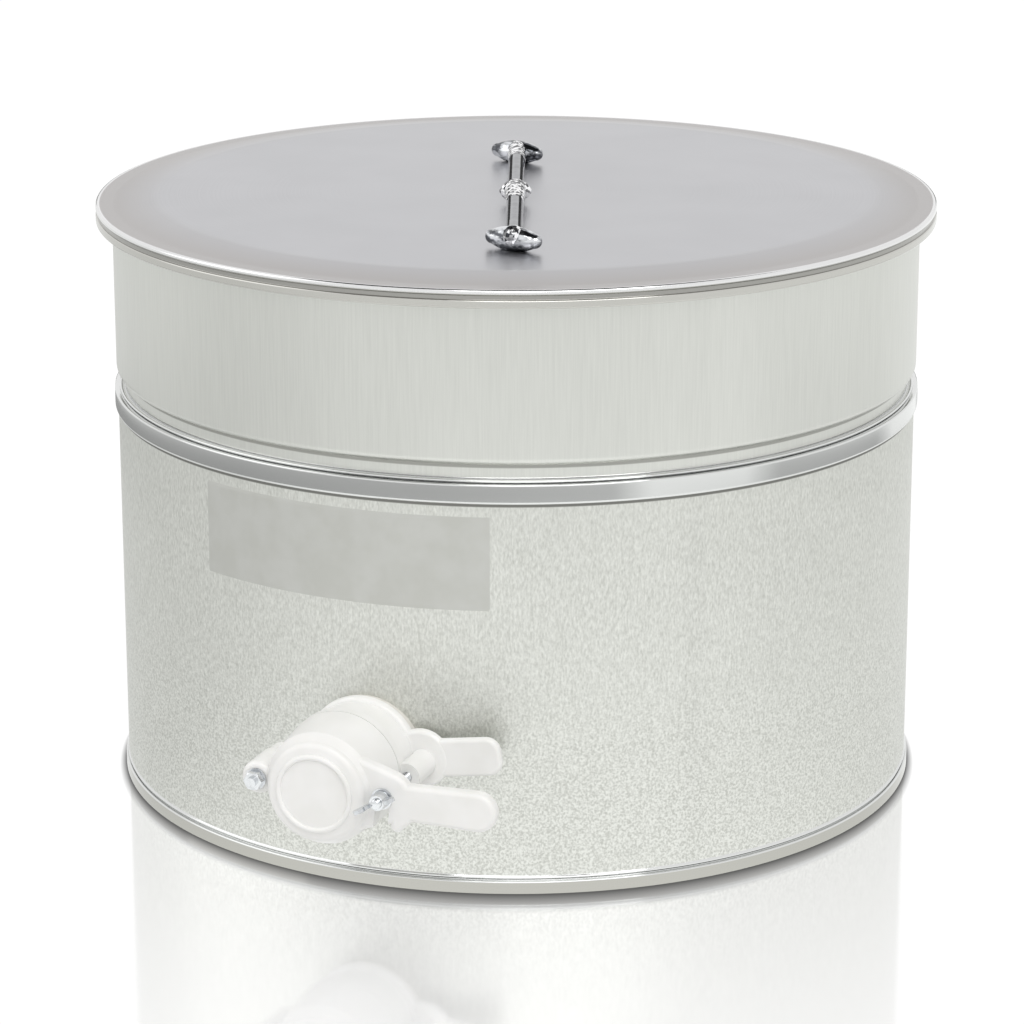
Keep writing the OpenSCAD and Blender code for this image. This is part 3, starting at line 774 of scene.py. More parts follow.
def evenly(path: np.ndarray, step: float) -> np.ndarray:
    """Adds points to a line so that no two neighbours are further apart than step.

    Each longer straight part also gets a point close to both ends, which keeps its shading flat.

    Args:
        path: Points of the line.
        step: Largest distance, in metres.

    Returns:
        The denser line.
    """
    parts = [path[:1]]
    for a, b in zip(path[:-1], path[1:]):
        length = float(np.linalg.norm(b - a))
        count = max(1, math.ceil(length / step))
        t = np.arange(1, count + 1) / count
        if length > GUARDED_LENGTH:
            t = np.unique(np.concatenate([[GUARD / length], t, [1.0 - GUARD / length]]))
        parts.append(a + (b - a) * t[:, None])
    return np.concatenate(parts)


def spun_sheet(name: str, path: np.ndarray, gauge: float, columns: int = 360,
               keep: Callable[[np.ndarray], np.ndarray] | None = None) -> bpy.types.Object:
    """Sheet metal turned round the tank's axis: each point of the line becomes a circle.

    Args:
        name: Name of the piece.
        path: Outer face of the sheet as radius and height, so run that the outside is on its right.
        gauge: Thickness of the sheet, laid inwards from that face.
        columns: Points round the axis.
        keep: Tells from the middles of the faces which of them stay.

    Returns:
        The piece, with its thickness as a modifier.
    """
    turn = full_turn(columns)
    r, z = path[:, 0][:, None], path[:, 1][:, None]
    points = as_points(r * np.cos(turn), r * np.sin(turn), z)
    faces = grid_faces(len(path), columns, True)
    if keep is not None:
        faces = faces[keep(points.reshape(-1, 3)[faces].mean(axis=1))]
    listed = faces.tolist()
    if path[0, 0] < AXIS_REACH:
        listed.append(first_cap(columns))
    if path[-1, 0] < AXIS_REACH:
        listed.append(last_cap(len(path), columns))
    piece = make_piece(name, points, listed)
    thickness = piece.modifiers.new("gauge", "SOLIDIFY")
    thickness.thickness = gauge
    thickness.offset = -1.0
    return piece


def dress(nodes: tuple[str, ...], material: bpy.types.Material) -> None:
    """Gives solids carried over from the frame their finish.

    Args:
        nodes: Names of the solids.
        material: Their finish.
    """
    for node in nodes:
        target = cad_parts[node]
        target.data.materials.clear()
        target.data.materials.append(material)
        LOG.info("dressed %s in %s", node, material.name)


def place_piece(piece: bpy.types.Object, body: Body, material: bpy.types.Material,
                replaced: tuple[str, ...] = ()) -> None:
    """Gives a new piece its finish, its body and the solids that it stands for.

    Args:
        piece: The new piece.
        body: Body that it moves with.
        material: Finish of the piece.
        replaced: Names of the solids that it replaces.
    """
    piece.data.materials.append(material)
    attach(piece, body.value)
    if replaced:
        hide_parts(*replaced)
    LOG.info("made %s on %s", piece.name, body.value)


@dataclass
class Finishes:
    """Materials that more than one sub-assembly uses, and the two of the handle."""

    plastic: bpy.types.Material
    rubber: bpy.types.Material
    zinc: bpy.types.Material
    chromed_feet: bpy.types.Material
    chromed_bar: bpy.types.Material

    @classmethod
    def make(cls) -> "Finishes":
        """Builds the materials.

        Returns:
            All of them.
        """
        # Painted reflections: dark blotches on the feet and a dark base colour on the bar stand for the dark
        # room that the chrome mirrors.
        feet = PlatedMetal("chromed_feet", "#DDDFE2", "#55575B", roughness=0.06, stain_mm=(11.0, 11.0, 5.0),
                           stain_span=(0.42, 0.56), pit_depth_mm=0.001)
        bar = PlatedMetal("chromed_bar", "#77797D", "#5C5E62", roughness=0.06, pit_depth_mm=0.001)
        return cls(
            plastic=MouldedPlastic().build(),
            rubber=SoftRubber().build(),
            zinc=PlatedMetal("zinc_plated_steel", "#DFE1E3", "#C4C7CA", roughness=0.20).build(),
            chromed_feet=feet.build(),
            chromed_bar=bar.build(),
        )


@dataclass
class Tank:
    """Tank wall, its seamed bottom and the blank sticker."""

    radius: float = 250 * MM
    gauge: float = 0.8 * MM
    hole_r: float = 27.0 * MM
    wall_step: float = 4.0 * MM
    bottom_step: float = 30.0 * MM
    foot_mm: float = 0.9
    bead_mm: float = 1.1
    bead_middle_mm: float = 9.6
    rim_mm: float = 12.0
    rim_proud_mm: float = 2.0
    rim_width_mm: float = 5.7
    rim_edge_mm: float = 1.4
    seam_mm: float = 7.7
    seam_in_mm: float = 1.7
    seam_out_mm: float = 1.8
    seam_gap_mm: float = 0.1
    seam_fold_mm: float = 1.2
    seam_corner_mm: float = 0.84
    bottom_rise_mm: float = 8.0
    polish_over_seam: float = 3.0 * MM
    middle_r_mm: float = 0.2
    sticker_low: float = 173 * MM
    sticker_high: float = 231 * MM
    sticker_left_deg: float = -26.5
    sticker_right_deg: float = 17.2
    sticker_proud: float = 0.25 * MM
    sticker_set_in: float = 0.2 * MM
    sticker_columns: int = 96
    sticker_rows: int = 28

    def build(self) -> None:
        """Makes the wall, the bottom and the blank sticker."""
        rim_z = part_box("tank_wall")[1][2] - self.rim_mm * MM
        steel = SpeckledSteel().build(rim_z, self.seam_mm * MM + self.polish_over_seam)
        self.wall(steel)
        self.bottom(steel)
        self.sticker()

    def wall(self, steel: bpy.types.Material) -> None:
        """Wall with the bead above its seam, the rolled rim and the hole for the gate.

        Args:
            steel: Finish of the sheet.
        """
        r, top = self.radius / MM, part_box("tank_wall")[1][2] / MM
        outer, low = r + self.rim_proud_mm, top - self.rim_mm
        inner, bead = outer - self.rim_width_mm, self.bead_middle_mm
        path = rounded_path([
            (r, self.foot_mm, 0), (r, bead - self.bead_mm, 0.4), (r + self.bead_mm, bead, 0.8),
            (r, bead + self.bead_mm, 0.4), (r, low, 0.3), (outer, low, 1.4), (outer, top, 0.9),
            (inner, top, 2.0), (inner, low, 2.0), (r - self.rim_edge_mm, low, 0)])
        gate_low, gate_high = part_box("valve_lock_nut")
        gate_z = (gate_low[2] + gate_high[2]) / 2

        def outside_hole(middles: np.ndarray) -> np.ndarray:
            """True for faces that are clear of the gate's hole."""
            away = np.hypot(middles[:, 0], middles[:, 2] - gate_z) > self.hole_r
            return away | (middles[:, 1] > 0.0)

        piece = spun_sheet("tank_wall_sheet", evenly(path, self.wall_step), self.gauge, keep=outside_hole)
        place_piece(piece, Body.TANK, steel, ("tank_wall",))

    def bottom(self, steel: bpy.types.Material) -> None:
        """Bottom sheet with the folded seam that the tank stands on.

        Args:
            steel: Finish of the sheet.
        """
        r = self.radius / MM
        inner, outer, folded = r - self.seam_in_mm, r + self.seam_out_mm, r + self.seam_gap_mm
        path = rounded_path([
            (self.middle_r_mm, self.bottom_rise_mm, 0), (inner, self.bottom_rise_mm, 0.8), (inner, 0.0, 0.4),
            (outer, 0.0, 0.4), (outer, self.seam_mm, self.seam_corner_mm),
            (folded, self.seam_mm, self.seam_corner_mm), (folded, self.seam_fold_mm, 0)])
        piece = spun_sheet("tank_bottom_sheet", evenly(path, self.bottom_step), self.gauge)
        place_piece(piece, Body.TANK, steel, ("tank_bottom",))

    def sticker(self) -> None:
        """A sheet bent round the wall: angle and height on a grid, set back into the wall at its border."""
        turn = np.radians(np.linspace(self.sticker_left_deg, self.sticker_right_deg, self.sticker_columns))
        angle, z = np.meshgrid(turn, np.linspace(self.sticker_low, self.sticker_high, self.sticker_rows))
        border = np.ones_like(z, dtype=bool)
        border[1:-1, 1:-1] = False
        r = self.radius + np.where(border, -self.sticker_set_in, self.sticker_proud)
        points = as_points(r * np.sin(angle), -r * np.cos(angle), z)
        faces = grid_faces(self.sticker_rows, self.sticker_columns, False).tolist()
        piece = make_piece("blank_sticker", points, faces)
        place_piece(piece, Body.TANK, BlankSticker().build())


@dataclass
class Sieve:
    """Lift-out ring with its wire cloth, hoop and crossed bars."""

    radius: float = 250.6 * MM
    neck_r: float = 245.5 * MM
    wall_height: float = 104.0 * MM
    skirt_z: float = 210.0 * MM
    gauge: float = 0.8 * MM
    step: float = 12.0 * MM
    ledge_mm: float = 8.0
    shoulder_bend_mm: float = 4.4
    roll_out_mm: float = 7.5
    roll_in_mm: float = 0.8
    roll_height_mm: float = 8.5
    roll_edge_mm: float = 7.0
    roll_corner_mm: float = 3.0
    polish_height: float = 9.0 * MM
    stop_z: float = 250.3 * MM
    stop_gauge: float = 0.7 * MM
    stop_width_mm: float = 3.6
    stop_height_mm: float = 1.6
    stop_bend_mm: float = 0.78
    stop_in_mm: float = 0.4
    polish_over_stop: float = 2.0 * MM
    pitch: float = 8.0 * MM
    wire_r: float = 0.45 * MM
    wave_share: float = 0.75
    sides: int = 4

    def build(self) -> None:
        """Dresses the hoop and the bars, makes the ring and weaves the wire cloth."""
        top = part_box("sieve_ring")[1][2]
        steel = BrushedSteel().build(
            self.stop_z + self.polish_over_stop, top - self.wall_height, top - self.polish_height)
        dress(("sieve_hoop", "sieve_cross_bars"), steel)
        self.ring(steel, top / MM)
        self.stop(steel)
        self.wire_cloth(steel)

    def ring(self, steel: bpy.types.Material, top: float) -> None:
        """Ring with its rolled rim, shoulder, neck, skirt and ledge.

        Args:
            steel: Finish of the sheet.
            top: Height of the ring's top, in millimetres.
        """
        r, neck, low = self.radius / MM, self.neck_r / MM, self.skirt_z / MM
        shoulder, under = top - self.wall_height / MM, top - self.roll_height_mm
        roll, inner, corner = r + self.roll_out_mm, r - self.roll_in_mm, self.roll_corner_mm
        path = rounded_path([
            (neck - self.ledge_mm, low, 0), (neck, low, 0.5), (neck, shoulder, 0.5),
            (r, shoulder, self.shoulder_bend_mm), (r, under, 0.4), (roll, under, corner), (roll, top, corner),
            (inner, top, corner), (inner, top - self.roll_edge_mm, 0)])
        piece = spun_sheet("sieve_ring_sheet", evenly(path, self.step), self.gauge)
        place_piece(piece, Body.SIEVE, steel, ("sieve_ring",))

    def stop(self, steel: bpy.types.Material) -> None:
        """Folded stop on the neck, which rests on the tank's rim.

        Args:
            steel: Finish of the sheet.
        """
        neck, low = self.neck_r / MM, self.stop_z / MM
        inner, outer, high = neck - self.stop_in_mm, neck + self.stop_width_mm, low + self.stop_height_mm
        bend = self.stop_bend_mm
        fold = rounded_path([(inner, low, 0), (outer, low, bend), (outer, high, bend), (inner, high, 0)])
        piece = spun_sheet("sieve_ring_stop", fold, self.stop_gauge)
        place_piece(piece, Body.SIEVE, steel)

    def wire_cloth(self, steel: bpy.types.Material) -> None:
        """Plain weave in a circle: each wire is a thin rod whose height follows a cosine over its neighbours.

        The real cloth has under a millimetre between its wires, so it is drawn coarse enough to show.

        Args:
            steel: Finish of the wires.
        """
        low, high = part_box("sieve_mesh")
        radius = (high[0] - low[0]) / 2 - 2.0 * self.wire_r
        middle = (low[2] + high[2]) / 2
        count = int(radius / self.pitch)
        points, faces, start = [], [], 0
        around = full_turn(self.sides)
        for turned in (False, True):
            for k in range(-count, count + 1):
                across = k * self.pitch
                half = math.sqrt(radius ** 2 - across ** 2)
                steps = max(3, 2 * int(half / self.pitch) + 3)
                along = np.linspace(-half, half, steps)
                sign = 1.0 if (k % 2 == 0) != turned else -1.0
                wave = sign * self.wave_share * self.wire_r * np.cos(math.pi * along / self.pitch)
                a, t = np.meshgrid(along, around, indexing="ij")
                side = across + self.wire_r * np.cos(t)
                z = middle + wave[:, None] + self.wire_r * np.sin(t)
                rod = as_points(side, a, z) if turned else as_points(a, side, z)
                points.append(rod.reshape(-1, 3))
                faces.append(grid_faces(steps, self.sides, True) + start)
                start += steps * self.sides
        every_face = np.concatenate(faces).tolist()
        piece = make_piece("woven_wire_cloth", np.concatenate(points), every_face)
        place_piece(piece, Body.SIEVE, steel, ("sieve_mesh",))


@dataclass
class Lid:
    """Spun lid with its chromed handle."""

    flat_r: float = 224.6 * MM
    rise: float = 3.2 * MM
    gauge: float = 0.8 * MM
    step: float = 12.0 * MM
    edge_r: float = 258.4 * MM
    middle_r_mm: float = 0.2
    border_mm: float = 25.0
    bead_in_mm: float = 2.2
    bead_foot_mm: float = 1.7
    bead_up_mm: float = 0.2
    bead_down_mm: float = 3.0
    groove_mm: float = 1.2
    groove_top_mm: float = 3.4
    # Drop below the land at which the painted groove shade starts
    groove_shade: float = 2.4 * MM
    hem_mm: float = 2.0
    hem_height_mm: float = 4.6
    hem_slope_mm: float = 0.2
    hem_fold_mm: float = 4.0
    handle_turn_deg: float = 20.0
    handle_shift: float = 44.0 * MM
    handle_span: float = 256.0 * MM
    handle_lift: float = 0.02 * MM
    bar_height: float = 8.0 * MM
    bar_r: float = 5.2 * MM
    bar_end_r: float = 5.6 * MM
    flare_len: float = 26.0 * MM
    flare_rows: int = 12
    bar_sides: int = 64
    foot_len: float = 37.0 * MM
    foot_r: float = 7.4 * MM
    foot_end_r: float = 4.3 * MM
    foot_axis: float = 6.6 * MM
    foot_turn_deg: float = -30.0
    foot_rows: int = 40
    foot_end_rows: int = 14
    foot_end_cut: float = 0.04
    foot_sides: int = 96
    ornament_len: float = 19.4 * MM
    ornament_r: float = 7.4 * MM
    ornament_tip_r: float = 1.8 * MM
    ornament_fullness: float = 0.9
    facet_rows: int = 13
    facet_columns: int = 14
    sleeve_back: float = 10.0 * MM
    sleeve_len: float = 36.0 * MM
    sleeve_plain: float = 8.0 * MM
    sleeve_start: float = 1.06
    sleeve_swell: float = 0.97
    sleeve_foot: float = 1.2
    sleeve_end: float = 1.05
    ball_r: float = 6.6 * MM
    ball_height: float = 8.7 * MM
    ball_out: float = 2.5 * MM
    ball_rows: int = 9
    ball_columns: int = 12
    ball_cut: float = 0.06

    def build(self, finishes: Finishes) -> None:
        """Makes the lid's sheet and its handle and dresses the screws and washers.

        Args:
            finishes: Shared materials.
        """
        low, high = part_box("lid_panel")
        groove_z = high[2] - self.rise - self.groove_shade
        self.panel(SpunSteel().build(self.flat_r, self.edge_r, groove_z, low[2] + self.hem_height_mm * MM))
        dress(("lid_handle_screws", "lid_handle_washers"), finishes.zinc)
        self.bar(finishes.chromed_bar)
        self.feet(finishes.chromed_feet)
        facets = CutChrome().build()
        self.ornament(facets)
        self.sleeves(facets)
        self.ball(facets)

    def panel(self, steel: bpy.types.Material) -> None:
        """Spun panel: flat middle, sloping border, flat land, bead, groove and folded hem.

        Args:
            steel: Finish of the sheet.
        """
        low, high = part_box("lid_panel")
        outer, top, hem, flat = high[0] / MM, high[2] / MM, low[2] / MM, self.flat_r / MM
        land = top - self.rise / MM
        bead, sunk, folded = land + self.bead_up_mm, outer - self.groove_mm, outer - self.hem_mm
        hem_top = hem + self.hem_height_mm
        path = rounded_path([
            (self.middle_r_mm, top, 0), (flat, top, 30.0), (flat + self.border_mm, land, 20.0),
            (outer - self.bead_in_mm, land, 0.3), (outer - self.bead_foot_mm, bead, 0.3), (outer, bead, 1.6),
            (outer, land - self.bead_down_mm, 1.5), (sunk, land - self.groove_top_mm, 0.4),
            (sunk, hem_top + self.hem_slope_mm, 0.4), (outer, hem_top, 0.9), (outer, hem, 0.9),
            (folded, hem, 0.9), (folded, hem + self.hem_fold_mm, 0)])
        piece = spun_sheet("lid_sheet", evenly(path, self.step)[::-1], self.gauge)
        place_piece(piece, Body.LID, steel, ("lid_panel",))

    def along(self, points: np.ndarray) -> np.ndarray:
        """Turns points from the handle's own axes, along, across and up from the lid, into the frame's.

        Args:
            points: Array of points. Those below the lid's face are set onto it.

        Returns:
            Array of the same shape.
        """
        turn = math.radians(self.handle_turn_deg - 90.0)
        c, s = math.cos(turn), math.sin(turn)
        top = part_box("lid_panel")[1][2]
        x, y = points[..., 0] + self.handle_shift, points[..., 1]
        z = np.maximum(points[..., 2], self.handle_lift)
        return np.stack([c * x - s * y, s * x + c * y, z + top], axis=-1)

    def bar(self, chrome: bpy.types.Material) -> None:
        """Round bar along the handle: its radius grows in a straight line to both feet.

        Args:
            chrome: Finish of the bar.
        """
        half, flare = self.handle_span / 2, self.flare_len
        x = np.concatenate([np.linspace(-half, -half + flare, self.flare_rows),
                            np.linspace(half - flare, half, self.flare_rows)])
        r = np.interp(half - np.abs(x), [0.0, flare], [self.bar_end_r, self.bar_r])[:, None]
        turn = full_turn(self.bar_sides)
        points = as_points(x[:, None], r * np.cos(turn), self.bar_height + r * np.sin(turn))
        place_piece(skin("handle_bar", self.along(points)), Body.LID, chrome, ("lid_handle",))

    def feet(self, chrome: bpy.types.Material) -> None:
        """Two spindles turned from square to the bar: an arc that swells at the middle, with ball ends.

        Args:
            chrome: Finish of the feet.
        """
        end_r = self.foot_end_r
        core, swell = self.foot_len / 2 - end_r, self.foot_r - end_r
        arc_r = (core ** 2 + swell ** 2) / (2 * swell)
        y = np.linspace(-core, core, self.foot_rows)
        r = np.sqrt(arc_r ** 2 - y ** 2) - (arc_r - self.foot_r)
        ball = np.linspace(self.foot_end_cut, 0.5 * math.pi, self.foot_end_rows)[:-1]
        y = np.concatenate([-core - end_r * np.cos(ball), y, core + end_r * np.cos(ball[::-1])])[:, None]
        r = np.concatenate([end_r * np.sin(ball), r, end_r * np.sin(ball[::-1])])[:, None]
        angle = full_turn(self.foot_sides)
        turn = math.radians(self.foot_turn_deg)
        c, s = math.cos(turn), math.sin(turn)
        side = r * np.cos(angle)
        for name, end in (("near", 0.5), ("far", -0.5)):
            points = as_points(end * self.handle_span + c * side - s * y, s * side + c * y,
                               self.foot_axis + r * np.sin(angle))
            piece = skin(f"handle_foot_{name}", self.along(points)[::-1])
            place_piece(piece, Body.LID, chrome)

    def ornament(self, chrome: bpy.types.Material) -> None:
        """Cut spindle across the bar's middle: its radius follows a cosine from tip to tip.

        Args:
            chrome: Finish of the facets.
        """
        t = np.linspace(-1.0, 1.0, self.facet_rows)
        swell = (self.ornament_r - self.ornament_tip_r) * np.cos(0.5 * math.pi * t) ** self.ornament_fullness
        r = self.ornament_tip_r + swell
        r[[0, -1]] = 0.5 * self.ornament_tip_r
        x, z = self.facets(r, self.facet_columns)
        points = as_points(x, 0.5 * self.ornament_len * t[:, None], self.bar_height + z)
        piece = skin("handle_ornament", self.along(points)[::-1], Shading.FACETED)
        place_piece(piece, Body.LID, chrome)

    def sleeves(self, chrome: bpy.types.Material) -> None:
        """Two cut sleeves round the bar, at the spindle and at the far foot, which taper in straight lines.

        Args:
            chrome: Finish of the facets.
        """
        far = -0.5 * self.handle_span
        swollen, tapered = self.sleeve_swell * self.ornament_r, self.sleeve_end * self.bar_r
        start, foot = self.sleeve_start * self.bar_r, self.sleeve_foot * self.bar_r
        for name, ends, radii in (
            ("middle", (-self.sleeve_back, 0.0, self.sleeve_len), (start, swollen, tapered)),
            ("far", (far, far + self.sleeve_plain, far + self.sleeve_len), (foot, foot, tapered)),
        ):
            x = np.linspace(ends[0], ends[-1], self.facet_rows)
            y, z = self.facets(np.interp(x, ends, radii), self.facet_columns)
            points = as_points(x[:, None], y, self.bar_height + z)
            piece = skin(f"handle_sleeve_{name}", self.along(points), Shading.FACETED)
            place_piece(piece, Body.LID, chrome)

    def ball(self, chrome: bpy.types.Material) -> None:
        """Cut ball where the bar meets the near foot: a sphere in rows of flat facets, cut off at both poles.

        Args:
            chrome: Finish of the facets.
        """
        t = np.linspace(self.ball_cut, 1.0 - self.ball_cut, self.ball_rows) * math.pi
        y, z = self.facets(self.ball_r * np.sin(t), self.ball_columns)
        x = 0.5 * self.handle_span + self.ball_out - self.ball_r * np.cos(t)
        points = as_points(x[:, None], y, self.ball_height + z)
        piece = skin("handle_ball", self.along(points), Shading.FACETED)
        place_piece(piece, Body.LID, chrome)

    def facets(self, radius: np.ndarray, columns: int) -> tuple[np.ndarray, np.ndarray]:
        """Corners of a faceted body of revolution, with every other row turned by half a facet.

        Args:
            radius: Radius of each row.
            columns: Facets in a row.

        Returns:
            Distances of the corners along two axes across the body.
        """
        angle = full_turn(columns)[None, :] + (np.arange(len(radius)) % 2)[:, None] * math.pi / columns
        return radius[:, None] * np.cos(angle), radius[:, None] * np.sin(angle)


@dataclass
class HoneyGate:
    """Two-handled plastic gate with its pivot bolt, clamp stud, washers and wing nut."""

    thread_pitch: float = 1.0 * MM
    thread_depth: float = 0.45 * MM
    thread_chamfer: float = 0.7 * MM
    rod_sides: int = 28
    steps_per_turn: int = 8
    nut_sides: int = 96
    nut_chamfer_mm: tuple[float, ...] = (0.0, 0.12, 0.25, 0.4, 0.55, 0.75)
    nut_face_share: float = 0.96
    nut_cone_slope: float = 1.9

    def build(self, finishes: Finishes) -> None:
        """Dresses the mouldings and makes the stud's thread and the nut.

        Args:
            finishes: Shared materials.
        """
        dress(("valve_body", "gate", "valve_lock_nut"), finishes.plastic)
        dress(("valve_outer_gasket", "valve_inner_gasket", "gate_seal"), finishes.rubber)
        dress(("pivot_washer", "clamp_washer", "wing_nut", "pivot_bolt"), finishes.zinc)
        self.stud(finishes.zinc)
        self.nut(finishes.zinc)

    def stud(self, zinc: bpy.types.Material) -> None:
        """Threaded stud along -Y: its radius less a triangle wave of y and angle, once a turn.

        Args:
            zinc: Finish of the stud.
        """
        low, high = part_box("clamp_stud")
        x, z = (low[0] + high[0]) / 2, (low[2] + high[2]) / 2
        radius, length = (high[0] - low[0]) / 2, high[1] - low[1]
        rows = int(length / self.thread_pitch * self.steps_per_turn)
        along, turn = np.meshgrid(np.linspace(0.0, length, rows), full_turn(self.rod_sides), indexing="ij")
        phase = along / self.thread_pitch - turn / (2 * math.pi)
        wave = 2.0 * np.abs(phase - np.floor(phase) - 0.5)
        chamfer = np.clip(self.thread_chamfer - np.minimum(along, length - along), 0.0, None)
        r = radius - np.maximum(self.thread_depth * wave, chamfer)
        points = as_points(x + r * np.cos(turn), high[1] - along, z + r * np.sin(turn))
        place_piece(skin("clamp_stud_thread", points), Body.TANK, zinc, ("clamp_stud",))

    def nut(self, zinc: bpy.types.Material) -> None:
        """Chamfered hexagon nut: the smaller of a hexagon's radius and a cone's, from row to row.

        Args:
            zinc: Finish of the nut.
        """
        low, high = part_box("pivot_nut")
        size = np.array(high) - np.array(low)
        x, z = (low[0] + high[0]) / 2, (low[2] + high[2]) / 2
        flat = 0.5 * min(size[0], size[2])
        phase = math.pi / 6 if size[2] > size[0] else 0.0
        turn = full_turn(self.nut_sides)
        hexagon = flat / np.cos(np.mod(turn + phase, math.pi / 3) - math.pi / 6)
        depth = np.array(self.nut_chamfer_mm) * MM
        depth = np.concatenate([depth, size[1] - depth[::-1]])
        from_end = np.minimum(depth, size[1] - depth)
        cone = self.nut_face_share * flat + from_end * self.nut_cone_slope
        r = np.minimum(hexagon[None, :], cone[:, None])
        points = as_points(x + r * np.cos(turn), high[1] - depth[:, None], z + r * np.sin(turn))
        piece = skin("pivot_nut_chamfered", points, Shading.FACETED)
        place_piece(piece, Body.TANK, zinc, ("pivot_nut",))


@dataclass
class Camera:
    """Camera at the photograph's view: place, aim and focal length, fitted to the photograph."""

    azimuth_deg: float = 20.49
    distance: float = 2.356
    eye_height: float = 0.863
    pitch_deg: float = 16.64
    pan_deg: float = 0.05
    roll_deg: float = 0.06
    focal_px: float = 3856.0
    image_px: float = 1024.0
    sensor_mm: float = 36.0
    clip_end: float = 100.0

    def build(self) -> None:
        """Makes the camera and hands it to the scene."""
        data = bpy.data.cameras.new("photo_view")
        data.sensor_width = self.sensor_mm
        data.lens = self.focal_px / self.image_px * self.sensor_mm
        data.clip_end = self.clip_end
        eye = bpy.data.objects.new("photo_view", data)
        turn = math.radians(self.azimuth_deg)
        eye.location = (self.distance * math.sin(turn), -self.distance * math.cos(turn), self.eye_height)
        eye.rotation_euler = (math.radians(90.0 - self.pitch_deg), math.radians(self.roll_deg),
                              math.radians(self.azimuth_deg + self.pan_deg))
        bpy.context.scene.collection.objects.link(eye)
        bpy.context.scene.camera = eye


@dataclass
class Studio:
    """Pale table, soft lamps, dark cards and white surroundings."""

    front_deg: float = 20.49
    fill: float = 0.64
    fill_colour: str = "#FFFDFA"
    table_half: float = 6.0
    table_drop: float = 0.05 * MM
    table_matt: str = "#5A5A5A"
    table_bounce: str = "#E8E8E8"
    table_in_metal: str = "#FAFBFA"
    table_lift: float = 0.95
    mirror_roughness: float = 0.08
    mirror_reach: tuple[float, float] = (0.26, 0.80)
    mirror_share: tuple[float, float] = (0.56, 0.0)
    # Painted shade at the tank's foot: its edge, its darkest level and its reach at the sides and at the
    # front
    foot_r: float = 251.8 * MM
    foot_shade: float = 0.15
    foot_reach: tuple[float, float] = (4.0 * MM, 30.0 * MM)
    side_facing: tuple[float, float] = (0.92, 0.30)
    side_across: tuple[float, float] = (-0.4, 0.4)
    side_level: tuple[float, float] = (0.93, 1.10)
    front_away: tuple[float, float] = (1.1, 1.3)
    front_level: tuple[float, float] = (1.27, 1.07)
    ring_level: tuple[float, float] = (0.37, 0.50)
    ring_offset: float = -0.085
    ring_wide: tuple[float, float, float, float] = (0.91, 0.94, 1.06, 1.09)
    ring_narrow: tuple[float, float, float, float] = (0.975, 0.985, 1.0, 1.01)
    gleam_sideways: tuple[float, float, float, float] = (0.40, 0.55, 0.86, 0.94)
    lamp_size: float = 2.6
    lamp_aim: tuple[float, float, float] = (0.0, 0.0, 0.2)
    key_place: tuple[float, float, float] = (1.3, -1.9, 3.0)
    key_watts: float = 62.0
    side_place: tuple[float, float, float] = (-2.4, -1.2, 1.8)
    side_watts: float = 13.0
    card_level: float = 0.08
    card_away: float = 10.0
    card_across: tuple[float, float] = (1.68, 3.4)
    card_z: tuple[float, float] = (-0.8, 1.6)
    top_card_half: float = 1.5
    top_card_z: float = 2.9

    def build(self) -> None:
        """Builds the whole set."""
        bpy.context.scene.view_settings.view_transform = "Standard"
        self.world()
        self.table()
        self.lamp("key_box", self.key_place, self.key_watts)
        self.lamp("side_box", self.side_place, self.side_watts)
        self.dark_cards()

    def seen_directly(self, tree: bpy.types.NodeTree) -> bpy.types.NodeSocket:
        """1 for camera, glossy and transmission rays, 0 for the rays that light things.

        Args:
            tree: Node tree that takes the nodes.

        Returns:
            Output socket of the choice.
        """
        path = add(tree, "ShaderNodeLightPath").outputs
        first = calc(tree, "MAXIMUM", path["Is Camera Ray"], path["Is Glossy Ray"])
        return calc(tree, "MAXIMUM", first, path["Is Transmission Ray"])

    def world(self) -> None:
        """White where it is seen, an even soft fill where it lights."""
        world = bpy.data.worlds.new("white_room")
        bpy.context.scene.world = world
        world.use_nodes = True
        tree = world.node_tree
        tree.nodes.clear()
        white = add(tree, "ShaderNodeBackground", {"Color": WHITE, "Strength": 1.0})
        light = add(tree, "ShaderNodeBackground", {"Color": linear(self.fill_colour), "Strength": self.fill})
        mixed = mix_shaders(tree, self.seen_directly(tree), light, white)
        add(tree, "ShaderNodeOutputWorld", {"Surface": mixed.outputs[0]})

    def table(self) -> None:
        """White glossy table that keeps a soft shadow and a faint mirror image.

        Close to the tank's foot a shade is painted on it. Metal sees it as in_metal sets it. From below it is
        clear.
        """
        half, low = self.table_half, -self.table_drop
        corners = np.array([[-half, -half, low], [half, -half, low], [half, half, low], [-half, half, low]])
        table = make_piece("floor", corners, [[0, 1, 2, 3]])
        material, tree = empty_material("white_table")
        away = axis_distance(tree)
        across, toward = self.over_table(tree)
        facing = calc(tree, "DIVIDE", toward, away)
        black = add(tree, "ShaderNodeEmission", {"Strength": 0.0})
        # Painted shadow: the table is darkened towards black close to the tank's foot.
        clear_of_painted_shade = self.clear_of_foot(tree, away, facing)
        with_painted_foot_shade = mix_shaders(tree, clear_of_painted_shade, black, self.open_table(tree, away))
        glossy = add(tree, "ShaderNodeLightPath").outputs["Is Glossy Ray"]
        mixed = mix_shaders(tree, glossy, with_painted_foot_shade, self.in_metal(tree, away, across, facing))
        below = add(tree, "ShaderNodeNewGeometry").outputs["Backfacing"]
        one_sided = mix_shaders(tree, below, mixed, add(tree, "ShaderNodeBsdfTransparent"))
        add(tree, "ShaderNodeOutputMaterial", {"Surface": one_sided.outputs[0]})
        table.data.materials.append(material)

